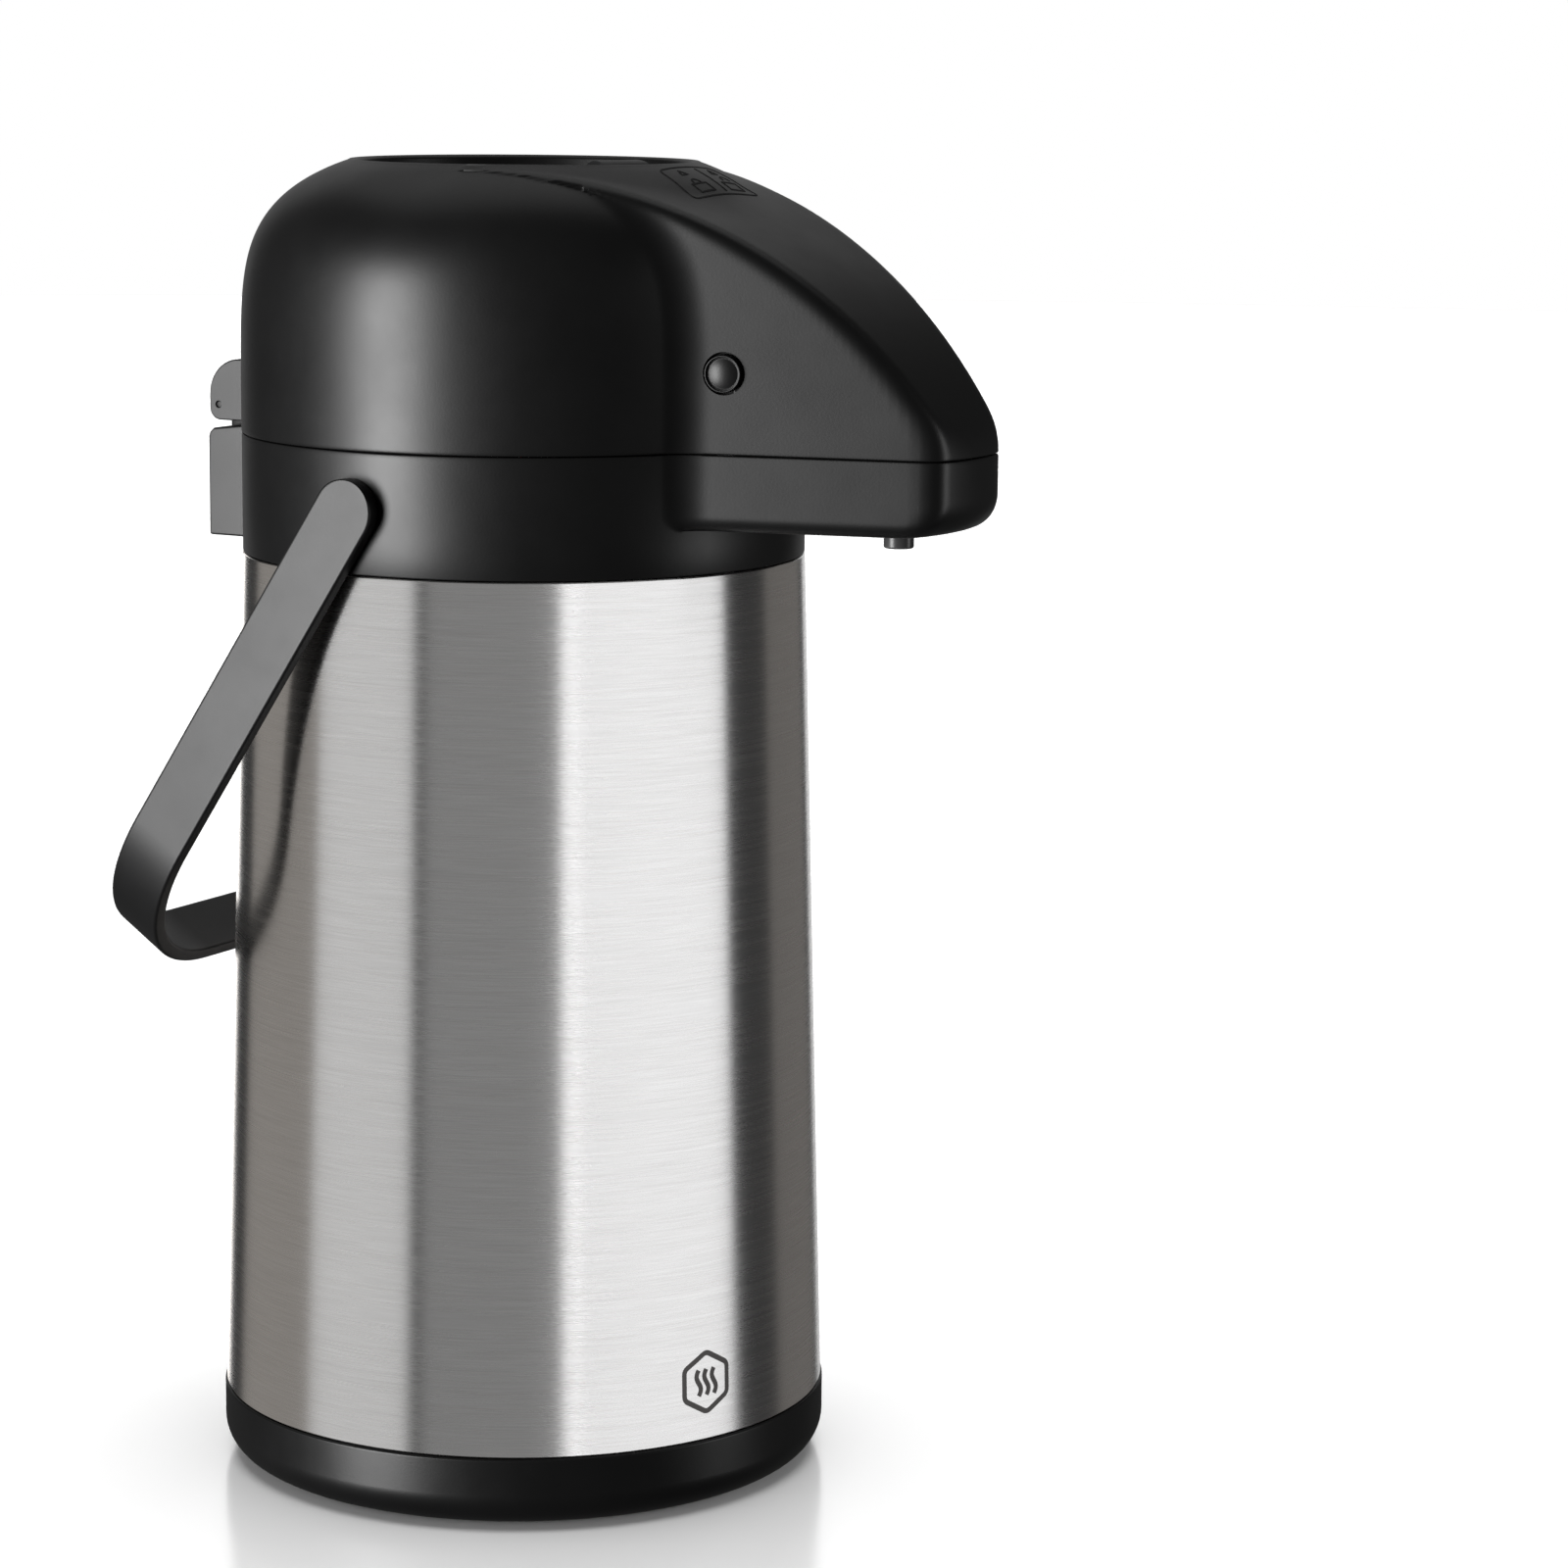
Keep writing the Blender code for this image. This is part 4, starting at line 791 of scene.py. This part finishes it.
def make_stopper():
    """What stands in the vessel's neck, seen when the lid is open."""
    head_low, head_high, rim, plug = NECK_TOP + 0.0026, 0.2826, 0.0335, NECK_BORE - 0.0007
    outline = [(0, 0.2520), (plug, 0.2520), (plug, head_low), (rim, head_low), (rim, head_high)]
    outline += [(rim - 0.0035, head_high), (rim - 0.0045, head_high - 0.0006), (0.0130, head_high - 0.0006)]
    outline += [(0.0120, head_high), (0, head_high)]
    head = turned("neck_stopper", outline, INNER, "vessel", 128, edge=0.0006)
    cutters = [bore((0, 0, 0.24), (0, 0, PIPE_Z + 0.001), 0.0043)]
    cutters.append(bore((0, 0, PIPE_Z), (0.04, 0, PIPE_Z), PIPE_RADIUS))
    cutters.append(bore((-0.016, 0, 0.24), (-0.016, 0, 0.30), 0.0035))
    carve(head, *cutters)
    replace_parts(steady(head), "siphon_head")
    seal = oblong(0.0298, 0.0325, NECK_TOP + GAP, head_low - GAP)
    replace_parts(turned("neck_ring", seal, SILICONE, "vessel", edge=0.0009), "neck_seal")
    tube = oblong(0.0029, 0.0040, 0.0420, 0.2740)
    piece = turned("suction_tube", tube, FLASK_STEEL, "vessel", 48, edge=0.0002)
    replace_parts(piece, "dip_tube")
    bend, wall, sides = 0.0045, 0.0008, 40
    route = [(rim + GAP + 0.0365 * i / 8, PIPE_Z) for i in range(8)]
    route += arc(NOZZLE_X - bend, PIPE_Z - bend, bend, bend, 90, 0, 20) + [(NOZZLE_X, NOZZLE_END + 0.0012)]
    outer, inner = [], []
    for i, (x, z) in enumerate(route):
        before, after = route[max(i - 1, 0)], route[min(i + 1, len(route) - 1)]
        along = Vector((after[0] - before[0], 0, after[1] - before[1])).normalized()
        across = along.cross(Vector((0, 1, 0)))
        turns = [2 * pi * k / sides for k in range(sides)]
        spokes = [cos(b) * across + sin(b) * Vector((0, 1, 0)) for b in turns]
        outer.append([Vector((x, 0, z)) + PIPE_RADIUS * spoke for spoke in spokes])
        inner.append([Vector((x, 0, z)) + (PIPE_RADIUS - wall) * spoke for spoke in spokes])
    pipe = swept("spout_tube", outer + inner[::-1], INNER, "vessel", True)
    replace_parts(pipe, "spout_pipe")
    edge = COLLAR_RADIUS - SKIN - 0.0011
    plate = [(0.0318, 0.2630), (edge - 0.002, 0.2630), (edge, 0.2650), (edge, 0.2660), (0.0480, 0.2660)]
    plate += [(0.0470, 0.2655), (0.0400, 0.2655), (0.0390, 0.2660), (0.0318, 0.2660)]
    piece = turned("shoulder_disc", plate, INNER, "vessel", edge=0.0004)
    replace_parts(piece, "shoulder_plate")
    for side, word in ((-1, "near"), (1, "far")):
        point = (-0.0738, side * 0.0090, 0.2722)
        cross_screw(f"hinge_fixing_{word}", f"hinge_screw_{word}", point, (-1, 0, 0), 0.0160, "vessel")


def make_flask():
    """The double-walled bottle inside the shell, its pads and the base's plate and screws."""
    def bottle(name, node, radius, floor, low, neck, neck_low):
        def side(r, z, b, n, top):
            points = [(0, z), (r - b, z)] + arc(r - b, z + b, b, b, -90, 0, 12)[1:]
            return points + arc(n, low, r - n, top - low, 0, 90, 16) + [(n, NECK_TOP)]

        outside, wall = side(radius, floor, 0.020, neck, neck_low), 0.0009
        inside = side(radius - wall, floor + wall, 0.020 - wall, neck - wall, neck_low - wall)
        piece = turned(name, outside + inside[::-1], FLASK_STEEL, "vessel", 96, edge=0.0002)
        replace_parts(piece, node)

    bottle("jacket_bottle", "vacuum_jacket", 0.0745, 0.0290, 0.2240, 0.0312, 0.2565)
    bottle("coffee_bottle", "inner_flask", 0.0700, 0.0345, 0.2200, 0.0299, 0.2520)
    pad = oblong(0.0280, 0.0500, 0.0240, 0.0287)
    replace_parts(turned("bottle_pad", pad, RUBBER, "vessel", edge=0.0008), "flask_pad")
    foot = [(0, 0.0004), (0.0600, 0.0004), (0.0610, 0), (0.0720, 0)]
    foot += [(0.0730, 0.0008), (0.0730, 0.0023), (0, 0.0023)]
    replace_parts(turned("foot_ring", foot, RUBBER, "vessel", 160, edge=0.0004), "foot_pad")
    plate = oblong(0, 0.0809, 0.0227, 0.0237)
    piece = turned("shell_floor", plate, FLASK_STEEL, "vessel", edge=0.0002)
    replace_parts(piece, "bottom_plate")
    for i, (x, y) in enumerate(round_places(3, 0.0600, 18.75)):
        point = (x, y, 0.0060 - GAP)
        cross_screw(f"base_fixing_{i + 1}", f"base_screw_{i + 1}", point, (0, 0, 1), 0.0190, "vessel")


def make_pivots():
    """The sleeves and studs that the handle turns on."""
    x, z = HANDLE_PIVOT
    for side, word in ((-1, "near"), (1, "far")):
        sleeve = [(0.0026, 0), (0.0060, 0), (0.0060, 0.0012)]
        sleeve += [(0.0042, 0.0012), (0.0042, 0.0052), (0.0026, 0.0052)]
        where, out = (x, side * 0.0728, z), (0, side, 0)
        name = f"pivot_sleeve_{word}"
        piece = turned(name, sleeve, INNER, "vessel", 48, where, out, 0.0002)
        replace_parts(piece, f"handle_bush_{word}")
        depth = HANDLE_HALF_SPAN - 0.0015 - 0.0725
        stud = [(0, -0.0016), (0.0042, -0.0016), (0.0042, 0), (0.0025, 0), (0.0025, depth), (0, depth)]
        where = (x, side * 0.0725, z)
        name = f"pivot_stud_{word}"
        piece = turned(name, stud, FASTENER, "handle", 48, where, out, 0.0003)
        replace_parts(piece, f"handle_stud_{word}")


# ---- marks --------------------------------------------------------------------------------------
def drawn(name, strokes, width, lift, place, look, body):
    """Strokes laid on a surface: place turns (u, v, height) into a point."""
    verts, faces = [], []
    for stroke, closed in strokes:
        points = [np.array(p, float) for p in stroke]
        count, first = len(points), len(verts)
        for i, p in enumerate(points):
            before = points[i - 1] if closed or i else p
            after = points[(i + 1) % count] if closed or i < count - 1 else p
            along = (after - before) / max(np.linalg.norm(after - before), 1e-9)
            across = np.array([-along[1], along[0]]) * width / 2
            for edge, height in ((-1, -0.0004), (1, -0.0004), (0.8, lift), (-0.8, lift)):
                u, v = p + edge * across
                verts.append(place(u, v, height))
        for i in range(count if closed else count - 1):
            a, b = first + 4 * i, first + 4 * ((i + 1) % count)
            faces += [(a + k, a + (k + 1) % 4, b + (k + 1) % 4, b + k) for k in range(4)]
        if not closed:
            last = first + 4 * (count - 1)
            faces += [(first, first + 1, first + 2, first + 3), (last, last + 1, last + 2, last + 3)]
    return mesh_piece(name, verts, faces, look, body)


def ring_of(u, v, radius, count=32, start=0, end=360):
    closed = end - start == 360
    steps = count if closed else count + 1
    angles = [radians(start + (end - start) * i / count) for i in range(steps)]
    return [(u + radius * cos(a), v + radius * sin(a)) for a in angles], closed


def dense(points, closed, gap=0.0008):
    """A stroke with points added, so that it follows a curved surface."""
    made, count = [], len(points)
    for i in range(count if closed else count - 1):
        a, b = np.array(points[i]), np.array(points[(i + 1) % count])
        steps = max(int(np.linalg.norm(b - a) / gap), 1)
        made += [tuple(a + (b - a) * k / steps) for k in range(steps)]
    return made + ([] if closed else [tuple(points[-1])]), closed


def make_label(levels):
    """The lock and unlock signs in a rounded frame on top of the beak, drawn as slightly raised strokes whose
    dark colour is painted shade standing in for engraved grooves.
    """
    heights = np.array([z for z, _ in levels])[::-1]

    def place(u, v, height):
        bearing, distance = atan2(v, u), hypot(u, v)
        reach = np.array([np.interp(bearing, ANGLES, spread_out) for _, spread_out in levels])[::-1]
        z = np.interp(distance, reach, heights)
        return Vector((u, v, z)) + height * Vector((0.5, 0, 0.866))

    low_u, high_u = 0.0500, 0.0632
    corners = [(low_u, -0.0131), (high_u, -0.0162), (high_u, 0.0186), (low_u, 0.0149)]
    frame_line = softened(corners, 0.0022, True, 5)
    strokes = [dense(frame_line, True), dense([(low_u + 0.0012, 0.0040), (high_u - 0.0012, 0.0028)], False)]
    for v, opened in ((-0.0058, False), (0.0101, True)):
        tip = low_u + 0.0018
        strokes.append(dense([(tip, v), (tip + 0.0022, v - 0.0016), (tip + 0.0022, v + 0.0016)], True))
        case = oblong(0.0583, 0.0614, v - 0.0036, v + 0.0036)
        strokes.append(dense(case, True))
        lean = 0.0010 if opened else 0.0
        strokes.append(ring_of(0.0582 - lean, v + lean, 0.0018, 16, 90, 270))
    drawn("lock_label", strokes, 0.00062, 0.00012, place, GROOVE_SHADE_MARKS, "lid")


def make_emblem():
    """A plain printed mark low on the shell: steam lines in a six-sided frame."""
    bearing, height = CAMERA_BEARING + radians(35.8), 0.0368
    taper = (SHELL_RADIUS_LOW - SHELL_RADIUS_HIGH) / (SEAM_COLLAR - SEAM_BASE)

    def place(u, v, rise):
        z = height + v
        radius = SHELL_RADIUS_LOW - taper * (z - SEAM_BASE)
        turn = bearing + u / radius
        return Vector(((radius + rise) * cos(turn), (radius + rise) * sin(turn), z))

    frame_line = arc(0, 0, 0.0084, 0.0084, 30, 390, 6)[:-1]
    strokes = [dense(softened(frame_line, 0.0012, True, 4), True)]
    for u in (-0.0026, 0.0, 0.0026):
        wave = [(u + 0.0007 * sin(pi * t / 6), -0.0036 + 0.0006 * t) for t in range(13)]
        strokes.append((wave, False))
    drawn("shell_mark", strokes, 0.0018, 0.00004, place, PRINT, "vessel")


def make_button_spring():
    """The bent strip that holds the two buttons out."""
    half, thickness, bow, rows = 0.0235, 0.0006, 0.0012, 48
    x, z = BUTTON_X - 0.0040, BUTTON_Z
    rings = []
    for i in range(rows + 1):
        t = i / rows
        middle = x + bow * cos(pi * t) ** 2
        section = oblong(middle - thickness / 2, middle + thickness / 2, z - 0.003, z + 0.003)
        rings.append([Vector((px, half * (2 * t - 1), pz)) for px, pz in softened(section, 0.0002, True, 2)])
    strip = swept("button_leaf_spring", rings, FASTENER, "lid", False)
    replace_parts(strip, "button_spring")


# ---- studio -------------------------------------------------------------------------------------
CAMERA_BEARING = radians(-58)  # where the camera stands, seen from the main axis
FLOOR_RADIUS = 5.5


def make_camera():
    bearing, distance, height = -CAMERA_BEARING, 1.24932, 0.3995
    yaw, pitch, roll = radians(3.330), radians(9.510), radians(0.543)
    up = Vector((0, 0, 1))
    away = Vector((-cos(bearing), sin(bearing), 0))
    right = Vector((sin(bearing), cos(bearing), 0))
    level = away * cos(yaw) + right * sin(yaw)
    side = right * cos(yaw) - away * sin(yaw)
    forward = level * cos(pitch) - up * sin(pitch)
    crown = level * sin(pitch) + up * cos(pitch)
    x = side * cos(roll) + crown * sin(roll)
    y = crown * cos(roll) - side * sin(roll)
    data = bpy.data.cameras.new("camera")
    data.lens = 103.68
    data.sensor_width = 36.0
    data.clip_start, data.clip_end = 0.01, 100
    camera = bpy.data.objects.new("camera", data)
    turn = Matrix((x, y, -forward)).transposed().to_4x4()
    camera.matrix_world = Matrix.Translation(-away * distance + up * height) @ turn
    linked(camera)
    bpy.context.scene.camera = camera


def collection_of(name, objects):
    made = bpy.data.collections.new(name)
    for obj in objects:
        made.objects.link(obj)
    return made


def area_light(name, place, turn, size, radiance, colour, receivers, blockers=None):
    """A rectangle that shines evenly on the receivers."""
    data = bpy.data.lights.new(name, "AREA")
    data.shape = "RECTANGLE"
    data.size, data.size_y = size
    data.energy = radiance * pi * data.size * data.size_y
    data.color = colour
    light = linked(bpy.data.objects.new(name, data))
    light.location = place
    light.rotation_euler = turn
    light.light_linking.receiver_collection = receivers
    light.light_linking.blocker_collection = blockers


def panel(name, turn, half_width, edges, radiance, colour, receivers, blockers, distance=1.6, base=0.2):
    """An upright softbox: turn is its bearing right of the camera and half_width its half angle, in
    degrees; edges are the elevations of its low and high edge, seen from the axis at height base."""
    bearing = CAMERA_BEARING + radians(turn)
    bottom, top = [distance * tan(radians(edge)) for edge in edges]
    place = (distance * cos(bearing), distance * sin(bearing), base + (top + bottom) / 2)
    size = (2 * distance * tan(radians(half_width)), top - bottom)
    facing = (pi / 2, 0, bearing + pi / 2)
    area_light(name, place, facing, size, radiance, colour, receivers, blockers)


def make_studio():
    floor_mesh = bpy.data.meshes.new("floor")
    bm = bmesh.new()
    bmesh.ops.create_circle(bm, cap_ends=True, segments=96, radius=FLOOR_RADIUS)
    bm.to_mesh(floor_mesh)
    bm.free()
    floor = linked(bpy.data.objects.new("floor", floor_mesh))
    look = Finish("pale_floor")
    look.fixed(IOR=1.5)
    greys = [(0.3, (0.89,) * 3), (0.7, (0.91,) * 3)]
    look.feed("Base Color", look.colours(look.noise(9, 3), greys))
    look.feed("Roughness", look.between(look.noise(40, 3), 0.17, 0.19))
    floor_mesh.materials.append(look.material)
    floor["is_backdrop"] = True
    floor.visible_glossy = False
    floor.visible_diffuse = False

    shown = [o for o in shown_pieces()]
    metal = ("steel_body", "shell_mark")
    metal_only = collection_of("metal_receivers", [o for o in shown if o.name in metal])
    rest_only = collection_of("plastic_receivers", [o for o in shown if o.name not in metal])
    floor_only = collection_of("floor_receivers", [floor])
    blockers = collection_of("blockers", shown)
    white, warm = (1, 1, 1), (1.0, 0.93, 0.86)

    for name, turn, half_width, edges, radiance in (
        ("key_plastic", -56, 12, (-22, 23), 14.5),
        ("right_plastic", 77, 8, (-20, 26), 2.6),
        ("rim_plastic", 180, 30, (-20, 40), 0.30),
    ):
        panel(name, turn, half_width, edges, radiance, white, rest_only, blockers)
    for name, turn, half_width, radiance, colour in (
        ("key_metal", -66, 22, 0.80, white),
        ("front_metal", -18, 21, 0.29, white),
        ("right_metal", 50, 36, 1.38, (0.985, 0.99, 1.0)),
        ("step_metal", 12, 9, 0.30, white),
        ("left_metal", -112, 24, 0.30, warm),
        ("far_right_metal", 130, 18, 0.14, warm),
        ("left_rim_metal", -166, 7, 1.5, warm),
        ("rim_metal", 180, 24, 0.8, white),
    ):
        panel(name, turn, half_width, (-40, 50), radiance, colour, metal_only, blockers)
    bearing = CAMERA_BEARING + pi
    place = (0.75 * cos(bearing), 0.75 * sin(bearing), 1.8)
    area_light("overhead", place, (0, 0, bearing + pi / 2), (1.8, 1.5), 0.45, white, rest_only)

    # The floor's own light: four far panels and a sun, which nothing else receives.
    for turn in (0, 90, 180, 270):
        panel(f"floor_wall_{turn}", turn, 46, (0, 28), 1.8, white, floor_only, blockers, 7.0, 0.0)
    sky = bpy.data.lights.new("floor_light", "SUN")
    sky.angle = radians(50)
    sky.energy = 2.4
    light = linked(bpy.data.objects.new("floor_light", sky))
    light.location = (0, 0, 3.0)
    light.light_linking.receiver_collection = floor_only

    world = bpy.data.worlds.new("studio_white")
    world.use_nodes = True
    nodes, links = world.node_tree.nodes, world.node_tree.links
    # White to the camera, and nearly dark to everything the panels light.
    seen, dim = nodes["Background"], nodes.new("ShaderNodeBackground")
    for background, strength in ((seen, 1.0), (dim, 0.05)):
        background.inputs["Color"].default_value = (1, 1, 1, 1)
        background.inputs["Strength"].default_value = strength
    path = nodes.new("ShaderNodeLightPath")
    mix = nodes.new("ShaderNodeMixShader")
    links.new(path.outputs["Is Camera Ray"], mix.inputs["Fac"])
    links.new(dim.outputs["Background"], mix.inputs[1])
    links.new(seen.outputs["Background"], mix.inputs[2])
    links.new(mix.outputs["Shader"], nodes["World Output"].inputs["Surface"])
    bpy.context.scene.world = world
    bpy.context.scene.view_settings.view_transform = "Standard"


def main():
    make_body()
    make_collar()
    make_hinge_bracket()
    make_lid()
    make_handle()
    for side in (-1, 1):
        make_button(side)
    make_pump()
    make_inside()
    make_button_spring()
    make_stopper()
    make_flask()
    make_pivots()
    make_emblem()
    make_camera()
    make_studio()


main()
